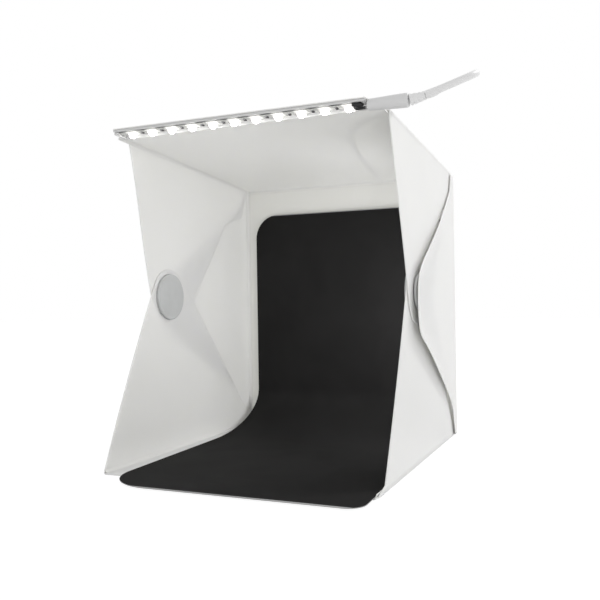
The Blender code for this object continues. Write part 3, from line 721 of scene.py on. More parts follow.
def flat_basis(loop, outward):
    """Directions in a panel's plane, with the third one outward."""
    normal = Vector((0, 0, 0))
    for a, b in zip(loop, loop[1:] + loop[:1]):
        normal += a.cross(b)
    normal.normalize()
    if normal.dot(outward) < 0:
        normal.negate()
    side = Vector((0, 0, 1)) if abs(normal.z) < 0.5 else Vector((1, 0, 0))
    across = (side - normal * side.dot(normal)).normalized()
    return across, normal.cross(across), normal


def turn_at(before, here, after):
    a = here - before
    b = after - here
    return math.atan2(a.x * b.y - a.y * b.x, a.dot(b))


def rounded_outline(outline):
    """Drop points on straight runs and round the sharp corners."""
    count = len(outline)
    kept = []
    for i in range(count):
        if abs(turn_at(outline[i - 1], outline[i], outline[(i + 1) % count])) > STRAIGHT_TURN:
            kept.append(outline[i])
    result = []
    for i, here in enumerate(kept):
        before = kept[i - 1]
        after = kept[(i + 1) % len(kept)]
        turn = turn_at(before, here, after)
        if abs(turn) < CORNER_TURN:
            result.append(here)
            continue
        room = min((before - here).length, (after - here).length) * CORNER_ROOM_SHARE
        reach = min(CORNER_R * math.tan(abs(turn) / 2), room)
        start = here + (before - here).normalized() * reach
        end = here + (after - here).normalized() * reach
        for k in range(CORNER_STEPS + 1):
            t = k / CORNER_STEPS
            result.append(start * (1 - t) ** 2 + here * 2 * t * (1 - t) + end * t * t)
    return result


def gridded(outline, step):
    """A flat face with this outline, cut into a grid of small faces."""
    shape = bmesh.new()
    shape.faces.new([shape.verts.new((point.x, point.y, 0)) for point in outline])
    for axis in (0, 1):
        low = min(point[axis] for point in outline)
        high = max(point[axis] for point in outline)
        count = math.ceil((high - low) / step)
        for k in range(1, count):
            on_plane = Vector((0, 0, 0))
            on_plane[axis] = low + (high - low) * k / count
            across = Vector((0, 0, 0))
            across[axis] = 1
            parts = [*shape.verts, *shape.edges, *shape.faces]
            bmesh.ops.bisect_plane(shape, geom=parts, dist=1e-7, plane_co=on_plane, plane_no=across)
    return shape


def forward_of(point):
    return BACK_Y - point.y


def roof_height(point):
    return ROOF_PIVOT.z + forward_of(point) * math.tan(ROOF_SLOPE)


def most_swell(x):
    return sizes().right_swell if x > 0 else sizes().left_swell


def side_swell(point):
    """How far a closed side stands out at its closure's depth: less towards the back."""
    return most_swell(point.x) * min(forward_of(point) / CLOSURE_F, 1)


def lower_swell(point):
    rise = min(max(point.z / SWELL_HEIGHT, 0), 1)
    return side_swell(point) * (1 - (1 - rise) ** 2)


def upper_swell(point):
    reach = ROOF_PIVOT.z - SWELL_HEIGHT
    return side_swell(point) * smoothstep((roof_height(point) - point.z) / reach)


def web_swell(point):
    return most_swell(point.x) * max(forward_of(point), 0) / CLOSURE_F


def slow_wave(point):
    """Slow unevenness of a thin sheet, smaller near its folds."""
    first = math.sin(point.dot(FIRST_WAVE))
    second = math.sin(point.dot(SECOND_WAVE) + WAVE_SHIFT)
    return sizes().wave * first * second


def depth_inside(place, outline):
    """Distance of a flat place from an outline, positive inside it."""
    inside = False
    least = 1.0
    for a, b in zip(outline, outline[1:] + outline[:1]):
        run = b - a
        along = min(max((place - a).dot(run) / run.length_squared, 0), 1)
        least = min(least, (a + run * along - place).length)
        if (a.y > place.y) != (b.y > place.y):
            if place.x < a.x + (place.y - a.y) / (b.y - a.y) * run.x:
                inside = not inside
    return least if inside else -least


def outward_of(side):
    return Vector((1.0 if side == "right" else -1.0, 0, 0))


def trimmed_front(loop):
    """The right lower flap's front edge runs down steeper and flares into its fold line."""
    front = max(forward_of(point) for point in loop)
    result = []
    for point in loop:
        if forward_of(point) > front - SAME_PLACE:
            foot = point.copy()
            foot.y = BACK_Y - FLARE_F
            foot.z = FLARE_Z
            pair = [point, foot]
            foot_last = abs(loop[loop.index(point) - 1].z - point.z) < SAME_PLACE * 10
            result += pair if foot_last else pair[::-1]
        else:
            result.append(point)
    return result


def full_corners(loop):
    """A web's corners carried up to the roof and down past the flap's heel, so that no slit stays."""
    for point in loop:
        if forward_of(point) < HEEL_REACH and point.z > BACK_HEIGHT - HEEL_HEIGHT:
            point.z = BACK_HEIGHT - SHEET_T * 2
    low = sorted((point for point in loop if point.z < HEEL_HEIGHT), key=forward_of)
    for point, (forward, height) in zip(low, WEB_FOOT):
        point.y = BACK_Y - forward
        point.z = height
    return loop


def add_panel(name, node, body, outward, swell=None, grow=(0, 0), trim=False, curl=0.0):
    """A thin sheet over a CAD panel: rounded corners and edges, slow wave, swell and curled rim."""
    loop = cap_loop(node, outward)
    if trim:
        loop = trimmed_front(loop)
    if node.startswith("rear_web"):
        loop = full_corners(loop)
    low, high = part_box(node)
    middle = (low + high) / 2
    for point in loop:
        point.x += math.copysign(grow[0], point.x - middle.x)
        point.y += math.copysign(grow[1], point.y - middle.y)
    across, along, normal = flat_basis(loop, outward)
    outline = [Vector((point.dot(across), point.dot(along))) for point in loop]
    depth = loop[0].dot(normal)
    shape = gridded(rounded_outline(outline), GRID_STEP)
    for vertex in shape.verts:
        place = across * vertex.co.x + along * vertex.co.y + normal * depth
        depth_here = depth_inside(vertex.co.xy, outline)
        lift = slow_wave(place) * smoothstep(depth_here / WAVE_FADE)
        if swell:
            lift += swell(place)
        if curl:
            near = max(1 - depth_here / CURL_REACH, 0)
            lift += curl * near ** 2 * smoothstep(forward_of(place) / CURL_RUN)
        vertex.co = place + normal * lift
    for face in shape.faces:
        face.normal_update()
    piece = add_mesh(name, shape, [sheet_finish()])
    thickened(piece, outward, SHEET_T)
    bevelled(piece, EDGE_ROUND)
    tie(piece, body, node)
    return piece


def add_panels():
    """Back, base, roof, side flaps and rear webs."""
    up = Vector((0, 0, 1))
    back = add_panel("back_sheet", "back_panel", "back", Vector((0, 1, 0)), grow=(GAP, 0))
    # Painted shade: the mask is one over the whole back panel, so it is drawn darker than the other sheets
    layer = back.data.attributes.new("painted_shade_mask", "FLOAT", "POINT")
    layer.data.foreach_set("value", [1.0] * len(back.data.vertices))
    add_panel("base_sheet", "base_panel", "base", -up, grow=(GAP, GAP))
    add_panel("roof_sheet", "roof_panel", "roof", up, grow=(GAP, GAP))
    for side in ("left", "right"):
        out = outward_of(side)
        node = f"lower_flap_{side}"
        add_panel(f"lower_flap_sheet_{side}", node, node, out, lower_swell, trim=side == "right")
        node = f"upper_flap_{side}"
        add_panel(f"upper_flap_sheet_{side}", node, node, out, upper_swell)
        node = f"rear_web_{side}"
        add_panel(f"web_sheet_{side}", node, node, out, web_swell, curl=WEB_CURL)


def crease_shape(start, end, first, second, reach, lift, power):
    """A thin skin that bends from one face to the next along a fold line."""
    inner = []
    outer = []
    for k in range(CREASE_STEPS + 1):
        t = k / CREASE_STEPS
        bend = first * reach * (1 - t) ** power + second * reach * t ** power
        inner.append(bend)
        rise = CREASE_RIM_SHARE + (1 - CREASE_RIM_SHARE) * math.sin(math.pi * k / CREASE_STEPS)
        outer.append(bend + lift * rise)
    profile = inner + outer[::-1]
    rows = []
    for i in range(CREASE_STATIONS + 1):
        middle = start.lerp(end, i / CREASE_STATIONS)
        rows.append([middle + point for point in profile])
    return lofted(rows)


def add_crease(name, start, end, first, second, inward):
    """A crease skin that blends between the two bodies of a fold."""
    lift = (first + second).normalized() * (CREASE_T if inward else -CREASE_T)
    width, power = (INNER_CREASE_WIDTH, 2) if inward else (CREASE_WIDTH, 3)
    shape = crease_shape(start, end, first, second, width, lift, power)
    piece = add_piece(name, shape, [crease_finish()])
    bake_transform(piece)


def mirrored(point):
    return Vector((-point.x, point.y, point.z))


def add_side_creases(side, slope, roof_up):
    """Creases of one side: base with lower flap, roof with upper flap, back with web."""
    up = Vector((0, 0, 1))
    front = Vector((0, -1, 0))
    out = outward_of(side)
    flap, roof_flap, web = f"lower_flap_{side}", f"upper_flap_{side}", f"rear_web_{side}"
    low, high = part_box(flap)
    inner = out * min(abs(low.x), abs(high.x))
    rear = inner + Vector((0, high.y - CORNER_R, SHEET_T))
    ahead = inner + Vector((0, low.y + CORNER_R, SHEET_T))
    add_crease(f"lower_flap_crease_{side}", rear, ahead, -out, up, True)
    low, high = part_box(roof_flap)
    edge = Vector(JOINTS[f"{side}_upper_flap_open"]["pos_m"])
    rear = edge - slope * ((edge.y - high.y) / slope.y + CORNER_R)
    ahead = edge - slope * ((edge.y - low.y) / slope.y + CORNER_R)
    add_crease(f"upper_flap_crease_{side}", rear, ahead, -out, -roof_up, False)
    inner = out * min(abs(low.x), abs(high.x))
    rear = ROOF_PLACE @ (inner + Vector((0, -HEEL_REACH / 3, 0)))
    ahead = ROOF_PLACE @ (inner + Vector((0, BAR_DEPTH + CORNER_R - roof_length(), 0)))
    add_crease(f"upper_flap_crease_inner_{side}", rear, ahead, -out, -roof_up, True)
    low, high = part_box(web)
    edge = Vector(JOINTS[f"{side}_web_open"]["pos_m"])
    foot = Vector((edge.x, edge.y, SHEET_T + GAP))
    top = Vector((edge.x, edge.y, BACK_HEIGHT - SHEET_T - GAP))
    add_crease(f"web_crease_{side}", foot, top, -out, front, False)
    inside = Vector((out.x * min(abs(low.x), abs(high.x)) - edge.x, BACK_LOW.y - edge.y, 0))
    add_crease(f"web_crease_inner_{side}", foot + inside, top + inside, -out, front, True)


def add_creases():
    """Creases of the back with roof, base and webs, and of roof and base with their flaps."""
    up = Vector((0, 0, 1))
    front = Vector((0, -1, 0))
    slope = Vector((0, -math.cos(ROOF_SLOPE), math.sin(ROOF_SLOPE)))
    roof_up = Vector((0, math.sin(ROOF_SLOPE), math.cos(ROOF_SLOPE)))
    half = BASE_HIGH.x - CORNER_R
    top = Vector((half, BACK_HIGH.y, BACK_HIGH.z))
    add_crease("roof_crease", mirrored(top), top, -up, slope, False)
    lift = (ROOF_PIVOT.y - BACK_LOW.y) * math.tan(ROOF_SLOPE)
    corner = Vector((half, BACK_LOW.y, ROOF_PIVOT.z + lift))
    add_crease("roof_crease_inner", mirrored(corner), corner, -up, slope, True)
    foot = Vector((half, BACK_LOW.y, SHEET_T))
    add_crease("base_crease", mirrored(foot), foot, up, front, True)
    for side in ("left", "right"):
        add_side_creases(side, slope, roof_up)


def turned(profile, steps=TURN_STEPS):
    """Revolve (x, radius) points about X; a point of radius zero is a pole."""
    shape = bmesh.new()
    rings = []
    for x, radius in profile:
        count = steps if radius > 0 else 1
        ring = []
        for k in range(count):
            angle = math.tau * k / steps
            ring.append(shape.verts.new((x, radius * math.cos(angle), radius * math.sin(angle))))
        rings.append(ring)
    for first, second in zip(rings, rings[1:]):
        for k in range(steps):
            n = (k + 1) % steps
            if len(first) == 1:
                shape.faces.new((first[0], second[k], second[n]))
            elif len(second) == 1:
                shape.faces.new((first[k], second[0], first[n]))
            else:
                shape.faces.new((first[k], second[k], second[n], first[n]))
    return shape


def arc(centre_x, centre_r, radius, start, end, steps=5):
    """Points of a profile's round edge, from one angle to another."""
    points = []
    for k in range(steps + 1):
        angle = start + (end - start) * k / steps
        points.append((centre_x + radius * math.cos(angle), centre_r + radius * math.sin(angle)))
    return points


def cover_profile(radius, thickness, magnet_r, magnet_t, dome):
    """A cup for the magnet with a rounded rim, a shallow ring groove and a domed face."""
    floor = magnet_t + GAP
    face = radius - RIM_WIDTH * FACE_SHARE
    profile = [(floor, 0), (floor, magnet_r + GAP), (0, magnet_r + GAP), (0, radius - EDGE_ROUND)]
    profile += [(EDGE_ROUND, radius)]
    profile += arc(thickness - RIM_ROUND, radius - RIM_ROUND, RIM_ROUND, math.pi / 2, 0)
    profile += [(thickness, radius - RIM_WIDTH), (thickness - DISH_DEPTH, radius - RIM_WIDTH * GROOVE_SHARE)]
    for k in range(DOME_STEPS + 1):
        t = k / DOME_STEPS
        profile.append((thickness - DISH_DEPTH + dome * (1 - (1 - t) ** 2), face * (1 - t)))
    return profile


def add_closures():
    """Round covers and magnets on the lower flaps and on the webs."""
    for side in ("left", "right"):
        out = outward_of(side)
        for owner, body, thickness, dome in (
            ("flap", f"lower_flap_{side}", FLAP_COVER_T, DOME_RISE),
            ("web", f"rear_web_{side}", WEB_COVER_T, 0.0),
        ):
            low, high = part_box(f"{owner}_cover_{side}")
            magnet_low, magnet_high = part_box(f"{owner}_magnet_{side}")
            magnet_r = (magnet_high.z - magnet_low.z) / 2
            radius = (high.z - low.z) / 2
            lean = math.atan2(high.x - low.x - thickness, radius * 2) if owner == "web" else 0.0
            face = (low + high) / 2 + out * (thickness / 2 + most_swell(out.x))
            turn = math.pi + lean if side == "right" else -lean
            place = Matrix.Translation(face) @ Matrix.Rotation(turn, 4, "Z")
            shape = turned(cover_profile(radius, thickness, magnet_r, MAGNET_T, dome), CLOSURE_STEPS)
            cover = add_piece(f"{owner}_closure_cover_{side}", shape, [cover_finish()], place)
            tie(cover, body, f"{owner}_cover_{side}")
            rim = magnet_r - EDGE_ROUND
            profile = [(0, 0), (0, rim), (EDGE_ROUND, magnet_r), (MAGNET_T - EDGE_ROUND, magnet_r),
                       (MAGNET_T, rim), (MAGNET_T, 0)]
            shape = turned(profile, CLOSURE_STEPS)
            magnet = add_piece(f"{owner}_closure_magnet_{side}", shape, [plain_finish("nickel_plate")], place)
            tie(magnet, body, f"{owner}_magnet_{side}")


# Lamp bar and plug

def roof_length():
    """Distance along the roof from its fold to its front edge."""
    loop = cap_loop("roof_panel", Vector((0, 0, 1)))
    inverse = ROOF_PLACE.inverted()
    return max(-(inverse @ point).y for point in loop)


def bar_levels():
    """Heights below the roof's underside: bar top, strip top, strip foot, lamp top, bar foot."""
    top = -GAP
    strip_top = top - BAR_WALL - GAP
    strip_foot = strip_top - STRIP_T
    return top, strip_top, strip_foot, strip_foot - GAP, top - BAR_HEIGHT


def swept_along_x(outline, start, end, stations=2):
    """Extrude a (forward, z) outline along X in the roof's own directions."""
    rows = []
    for i in range(stations + 1):
        x = start + (end - start) * i / stations
        rows.append([(x, -forward, z) for forward, z in outline])
    return lofted(rows)


def roof_piece(name, node, shape, materials, round_width=0.0):
    """A piece made in the roof's directions, which stands for a CAD node of the roof."""
    piece = add_piece(name, shape, materials, ROOF_PLACE)
    if round_width:
        bevelled(piece, round_width)
    tie(piece, "roof", node)


def add_lamp_bar():
    """The bar's channel, its end cap and the circuit strip in it."""
    top, strip_top, strip_foot, _, foot = bar_levels()
    front = roof_length()
    rear = front - BAR_DEPTH
    outline = [
        (rear, top), (front, top), (front, top - BAR_LIP), (front - BAR_WALL, top - BAR_LIP),
        (front - BAR_WALL, top - BAR_WALL), (rear + BAR_WALL, top - BAR_WALL),
        (rear + BAR_WALL, foot), (rear, foot),
    ]
    half = BAR_LENGTH / 2
    finishes = [plain_finish("bar_enamel")]
    shape = swept_along_x(outline, -half, half)
    roof_piece("lamp_bar", "led_profile", shape, finishes, BAR_ROUND)
    inner_rear = rear + BAR_WALL + GAP
    inner_front = front - BAR_WALL - GAP
    outline = [(inner_rear, foot), (inner_front, foot), (inner_front, strip_top), (inner_rear, strip_top)]
    shape = swept_along_x(outline, GAP - half, GAP - half + END_CAP_LENGTH)
    roof_piece("lamp_bar_end_cap", "led_end_cap", shape, finishes, BAR_ROUND)
    middle = front - BAR_DEPTH / 2
    left = -half + END_CAP_LENGTH + GAP * 2
    right = half - SOCKET_RECESS - SOCKET_LENGTH - GAP
    outline = [
        (middle - STRIP_WIDTH / 2, strip_foot), (middle + STRIP_WIDTH / 2, strip_foot),
        (middle + STRIP_WIDTH / 2, strip_top), (middle - STRIP_WIDTH / 2, strip_top),
    ]
    shape = swept_along_x(outline, left, right, STRIP_STATIONS)
    for face in shape.faces:
        face.normal_update()
        face.material_index = 0 if abs(face.normal.z) > 0.5 else 1
    finishes = [strip_finish(), plain_finish("chip_black")]
    roof_piece("lamp_strip", "led_strip", shape, finishes, STRIP_T * RIM_SHARE)


def lamp_shape():
    """Package with a round well, a domed lens in it and tinned tabs at two sides."""
    half = LED_SIZE / 2
    shape = bmesh.new()
    corners = [(-half, -half), (half, -half), (half, half), (-half, half)]
    top = [shape.verts.new((x, y, 0)) for x, y in corners]
    foot = [shape.verts.new((x, y, -LED_HEIGHT)) for x, y in corners]
    shape.faces.new(top)
    bridge(shape, [top, foot])
    levels = [(LENS_R, 0)]
    for k in range(LENS_STEPS):
        angle = math.pi / 2 * (k + 0.5) / (LENS_STEPS + 0.5)
        levels.append((LENS_R * math.cos(angle), -LENS_RISE * math.sin(angle)))
    angles = [math.tau * k / LENS_SIDES - math.pi * 3 / 4 for k in range(LENS_SIDES)]
    rings = []
    for radius, z in levels:
        places = [(radius * math.cos(angle), radius * math.sin(angle), z - LED_HEIGHT) for angle in angles]
        rings.append([shape.verts.new(place) for place in places])
    quarter = LENS_SIDES // 4
    for i in range(4):
        edge = [rings[0][(i * quarter + k) % LENS_SIDES] for k in range(quarter + 1)]
        shape.faces.new([foot[i], *edge, foot[(i + 1) % 4]])
    for face in [*bridge(shape, rings), shape.faces.new(rings[-1])]:
        face.material_index = 1
    for way in (-1, 1):
        for row in (-1, 1):
            middle = (row * LED_SIZE / 4, way * (half + TAB_LENGTH / 2), -TAB_T / 2)
            add_block(shape, middle, (TAB_WIDTH, TAB_LENGTH, TAB_T), 2)
    return shape


def add_lamps():
    """Eleven lamps and the small resistors between them."""
    lamps = sorted(name for name in frame["nodes"] if name.startswith("led_") and name[4:].isdigit())
    front = roof_length()
    middle = front - BAR_DEPTH / 2
    _, _, strip_foot, lamp_top, _ = bar_levels()
    first = -LED_PITCH * (len(lamps) - 1) / 2
    finishes = [package_finish(), lens_finish(), plain_finish("solder_tin")]
    for k, node in enumerate(lamps):
        shape = lamp_shape()
        bmesh.ops.translate(shape, vec=(first + LED_PITCH * k, -middle, lamp_top), verts=shape.verts)
        roof_piece(f"lamp_{k + 1:02d}", node, shape, finishes, EDGE_ROUND)
    finishes = [plain_finish("chip_black"), plain_finish("solder_tin")]
    for k in range(len(lamps) - 1):
        x = first + LED_PITCH * (k + 0.5)
        shape = bmesh.new()
        body = (RESISTOR_WIDTH, RESISTOR_BODY, RESISTOR_HEIGHT)
        add_block(shape, (x, -middle, lamp_top - RESISTOR_HEIGHT / 2), body)
        for way in (-1, 1):
            y = -middle + way * (RESISTOR_BODY + RESISTOR_END) / 2
            end = (RESISTOR_WIDTH, RESISTOR_END, RESISTOR_END_HEIGHT)
            add_block(shape, (x, y, lamp_top - RESISTOR_END_HEIGHT / 2), end, 1)
        roof_piece(f"strip_resistor_{k + 1:02d}", f"led_resistor_{k + 1:02d}", shape, finishes)


def socket_axis():
    """Distance along the roof and height of the plug's axis."""
    _, strip_top, _, _, foot = bar_levels()
    return roof_length() - BAR_DEPTH / 2, (strip_top + foot) / 2


def plug_profile():
    """Pin, tapered nose, round body and its rounded end."""
    profile = [(-PIN_LENGTH, 0), (EDGE_ROUND - PIN_LENGTH, PIN_R), (0, PIN_R), (0, PLUG_NOSE_R - EDGE_ROUND)]
    profile.append((EDGE_ROUND, PLUG_NOSE_R))
    rise = PLUG_R - PLUG_NOSE_R
    for k in range(1, PLUG_TAPER_STEPS + 1):
        t = k / PLUG_TAPER_STEPS
        share = PLUG_TAPER_START + (1 - PLUG_TAPER_START) * t
        profile.append((PLUG_NOSE_LENGTH * share, PLUG_NOSE_R + rise * t))
    profile.append((PLUG_LENGTH - PLUG_EDGE * 2, PLUG_R))
    profile += arc(PLUG_LENGTH - PLUG_EDGE, PLUG_R - PLUG_EDGE, PLUG_EDGE, math.pi / 2, 0)
    return profile + [(PLUG_LENGTH, 0)]


def relief_profile():
    """Tapered sleeve with soft ring grooves."""
    profile = [(0, 0), (0, RELIEF_START_R - EDGE_ROUND), (EDGE_ROUND, RELIEF_START_R)]
    steps = RELIEF_RIBS * RELIEF_RIB_STEPS
    fall = RELIEF_START_R - RELIEF_END_R
    for k in range(1, steps):
        t = k / steps
        groove = max(math.sin(t * math.tau * RELIEF_RIBS - math.pi / 2), 0) ** RELIEF_RIB_SQUARENESS
        profile.append((RELIEF_LENGTH * t, RELIEF_START_R - fall * t - RELIEF_RIB_DEPTH * groove))
    return profile + [(RELIEF_LENGTH, RELIEF_END_R), (RELIEF_LENGTH, 0)]


def relief_direction():
    return Vector((math.cos(RELIEF_TILT), 0, math.sin(RELIEF_TILT)))


def plug_start():
    forward, z = socket_axis()
    return ROOF_PLACE @ Vector((BAR_LENGTH / 2 + GAP, -forward, z))


def relief_start():
    lift = PLUG_R * math.sin(RELIEF_TILT) + GAP
    return plug_start() + Vector((PLUG_LENGTH + lift, 0, 0))


def add_power_plug():
    """Plug in the bar's end and the ribbed sleeve behind it."""
    place = Matrix.Translation(plug_start())
    plug = add_piece("bar_plug", turned(plug_profile()), [plug_finish()], place)
    place = Matrix.Translation(relief_start()) @ Matrix.Rotation(-RELIEF_TILT, 4, "Y")
    sleeve = add_piece("bar_plug_sleeve", turned(relief_profile()), [lead_finish()], place)
    tie(plug, "roof", "power_plug")
    tie(sleeve, "roof", "plug_strain_relief")


def add_socket():
    """Black socket block in the bar's right end."""
    forward, z = socket_axis()
    _, strip_top, _, _, foot = bar_levels()
    end = BAR_LENGTH / 2 - SOCKET_RECESS
    half = SOCKET_WIDTH / 2
    slot = PIN_R + GAP
    outline = [
        (forward - half, strip_top), (forward + half, strip_top), (forward + half, foot),
        (forward + slot, foot), (forward + slot, z + slot), (forward - slot, z + slot),
        (forward - slot, foot), (forward - half, foot),
    ]
    shape = swept_along_x(outline, end - SOCKET_LENGTH, end)
    roof_piece("bar_socket", "power_socket", shape, [plain_finish("socket_black")], EDGE_ROUND)


# Lead

def smooth_curve(points, steps):
    """Points of a Catmull-Rom curve through the given ones."""
    ends = [points[0] * 2 - points[1], *points, points[-1] * 2 - points[-2]]
    curve = []
    for a, b, c, d in zip(ends, ends[1:], ends[2:], ends[3:]):
        for k in range(steps):
            t = k / steps
            bend = (a * 2 - b * 5 + c * 4 - d) * t * t + (b * 3 - a - c * 3 + d) * t * t * t
            curve.append((b * 2 + (c - a) * t + bend) / 2)
    curve.append(points[-1].copy())
    return curve


def coil_points():
    """Two piled layers, inwards above and outwards below, and the straight end behind them."""
    pitch = CORD_D + COIL_CLEAR
    turn_back = COIL_TURNS / 2
    least = COIL_MEAN_D / 2 - pitch * turn_back / 2
    low = CORD_D / 2 + FLOOR_CLEAR
    points = []
    for k in range(round(COIL_TURNS * COIL_LOOP_POINTS) + 1):
        turns = k / COIL_LOOP_POINTS
        fall = smoothstep((turns - turn_back) * 2 + 0.5)
        radius = least + pitch * abs(turns - turn_back)
        angle = -math.pi / 2 - math.tau * turns
        x = COIL_X + radius * math.cos(angle)
        y = BACK_Y - COIL_F + radius * math.sin(angle)
        points.append(Vector((x, y, low + pitch * (1 - fall))))
    tail = [points[-1] + Vector((COIL_TAIL * k / 4, 0, 0)) for k in (1, 2, 3, 4)]
    return points, tail


def even_points(points, step):
    """Points about one step apart along a line through close points."""
    lengths = [(b - a).length for a, b in zip(points, points[1:])]
    count = max(2, round(sum(lengths) / step))
    spacing = sum(lengths) / count
    result = [points[0]]
    walked = 0.0
    target = spacing
    for point, after, length in zip(points, points[1:], lengths):
        while length > 0 and walked + length >= target and len(result) < count:
            result.append(point.lerp(after, (target - walked) / length))
            target += spacing
        walked += length
    result.append(points[-1])
    return result


def lead_path():
    """The whole lead from the sleeve to the USB plug."""
    start = relief_start() + relief_direction() * (RELIEF_LENGTH + GAP)
    coil, tail = coil_points()
    route = [start, start + relief_direction() * CORD_D]
    route += [Vector((x, BACK_Y - f, z)) for x, f, z in CORD_ROUTE]
    route += [coil[0] + Vector((GAP + CORD_D, 0, 0)), coil[0]]
    return even_points(smooth_curve(route, CORD_CURVE_STEPS) + coil[1:] + tail, CORD_STEP)


def tube_shape(points, radius, sides):
    """A closed tube along a line, its rings carried on without twist."""
    up = Vector((0, 0, 1))
    rows = []
    for i, point in enumerate(points):
        run = (points[min(i + 1, len(points) - 1)] - points[max(i - 1, 0)]).normalized()
        up = (up - run * up.dot(run)).normalized()
        side = run.cross(up)
        angles = [math.tau * k / sides for k in range(sides)]
        rows.append([point + (up * math.cos(angle) + side * math.sin(angle)) * radius for angle in angles])
    return lofted(rows)


def add_lead():
    """The white lead: over the roof, down behind the back and into its coil."""
    points = lead_path()
    lead = add_piece("usb_lead", tube_shape(points, CORD_D / 2, CORD_SIDES), [lead_finish()])
    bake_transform(lead)
    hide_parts("usb_cord", "usb_coil")


def rounded_section(x, half_y, half_z, z, power, steps=40):
    """A ring round X: round for a power of one, squarer for less."""
    ring = []
    for k in range(steps):
        c = math.cos(math.tau * k / steps)
        s = math.sin(math.tau * k / steps)
        y = half_y * math.copysign(abs(c) ** power, c)
        ring.append(Vector((x, y, z + half_z * math.copysign(abs(s) ** power, s))))
    return ring


def grip_sections(middle):
    """Ribbed neck, shoulder, grip and its rounded end."""
    neck_r = CORD_D / 2
    half_y = USB_GRIP_WIDTH / 2
    half_z = USB_GRIP_HEIGHT / 2
    sections = [rounded_section(0, neck_r, neck_r, 0, 1.0)]
    for k in range(1, USB_NECK_STEPS + 1):
        t = k / USB_NECK_STEPS
        x = USB_NECK_LENGTH * USB_NECK_SHARE * t
        size = neck_r * (USB_NECK_SWELL[0] + USB_NECK_SWELL[1] * t) - USB_RIB_DEPTH * (k % 2)
        sections.append(rounded_section(x, size, size, middle * smoothstep(t), USB_NECK_SQUARENESS))
    ends = [(share, USB_NECK_LENGTH * at) for share, at in USB_SHOULDER]
    ends += [(share, USB_NECK_LENGTH + USB_GRIP_LENGTH - back) for share, back in USB_GRIP_END]
    for share, x in ends:
        sections.append(rounded_section(x, half_y * share, half_z * share, middle, USB_GRIP_SQUARENESS))
    return sections


def tongue_shape():
    """Plastic tongue with four contacts on its lower face."""
    half_y = USB_SHELL_WIDTH / 2 - USB_SHELL_WALL - GAP
    top = USB_SHELL_HEIGHT / 2 - USB_SHELL_WALL - GAP
    near = USB_SHELL_WALL + GAP
    far = USB_SHELL_LENGTH - USB_TONGUE_SETBACK
    shape = bmesh.new()
    add_block(shape, ((near + far) / 2, 0, top - USB_TONGUE_T / 2), (far - near, half_y * 2, USB_TONGUE_T))
    length, width, thickness = USB_CONTACT
    x = far - USB_CONTACT_SETBACK - length / 2
    z = top - USB_TONGUE_T - thickness / 2 + USB_CONTACT_SINK
    for k in range(4):
        add_block(shape, (x, (k - 1.5) * USB_CONTACT_PITCH, z), USB_CONTACT, 1)
    return shape


def add_usb_plug():
    """Moulded grip, folded metal shell with its two windows, and the tongue."""
    end = coil_points()[1][-1]
    middle = USB_GRIP_HEIGHT / 2 + FLOOR_CLEAR - end.z
    total = USB_NECK_LENGTH + USB_GRIP_LENGTH
    near = Matrix.Translation(end + Vector((GAP, 0, 0)))
    far = Matrix.Translation(end + Vector((GAP * 2 + total, 0, middle)))
    grip = add_piece("usb_grip_moulding", lofted(grip_sections(middle)), [lead_finish()], near)
    shell = add_piece("usb_plug_shell", shell_shape(), [plain_finish("plated_steel")], far)
    bevelled(shell, USB_SHELL_ROUND)
    finishes = [plain_finish("tongue_white"), plain_finish("solder_tin")]
    tongue = add_piece("usb_plug_tongue", tongue_shape(), finishes, far)
    tie(grip, "back", "usb_grip")
    tie(shell, "back", "usb_shell")
    tie(tongue, "back", "usb_tongue")


def shell_shape():
    """A thin box open at its far end, with two square windows in its upper wall."""
    half_y = USB_SHELL_WIDTH / 2
    half_z = USB_SHELL_HEIGHT / 2
    wall = USB_SHELL_WALL
    window_end = USB_SHELL_LENGTH - USB_WINDOW_SETBACK
    stations = [0, window_end - USB_WINDOW, window_end, USB_SHELL_LENGTH]
    edge = half_y * USB_WINDOW_SHARE
    columns = [-half_y, -edge, USB_WINDOW - edge, edge - USB_WINDOW, edge, half_y]
    shape = bmesh.new()

    def face(*corners):
        return shape.faces.new(corners)

    def panel(inset, z):
        side = half_y - inset
        grid = []
        for x in stations:
            row = [shape.verts.new((max(x, inset), min(max(y, -side), side), z)) for y in columns]
            grid.append(row)
        faces = {}
        for i in range(3):
            for j in range(5):
                faces[i, j] = face(grid[i][j], grid[i + 1][j], grid[i + 1][j + 1], grid[i][j + 1])
        return grid, faces

    top_out, top_out_faces = panel(0, half_z)
    top_in, top_in_faces = panel(wall, half_z - wall)
    low_out, _ = panel(0, -half_z)
    low_in, _ = panel(wall, wall - half_z)
    for top, low in ((top_out, low_out), (top_in, low_in)):
        for i in range(3):
            for j in (0, 5):
                face(top[i][j], top[i + 1][j], low[i + 1][j], low[i][j])
        for j in range(5):
            face(top[0][j], top[0][j + 1], low[0][j + 1], low[0][j])
    for out, inner in ((top_out, top_in), (low_out, low_in)):
        for j in range(5):
            face(out[3][j], out[3][j + 1], inner[3][j + 1], inner[3][j])
    for j in (0, 5):
        face(top_out[3][j], top_in[3][j], low_in[3][j], low_out[3][j])
    for j in (1, 3):
        shape.faces.remove(top_out_faces[1, j])
        shape.faces.remove(top_in_faces[1, j])
        rings = [[top[1][j], top[2][j], top[2][j + 1], top[1][j + 1]] for top in (top_out, top_in)]
        bridge(shape, rings)
    return shape


# Backdrop

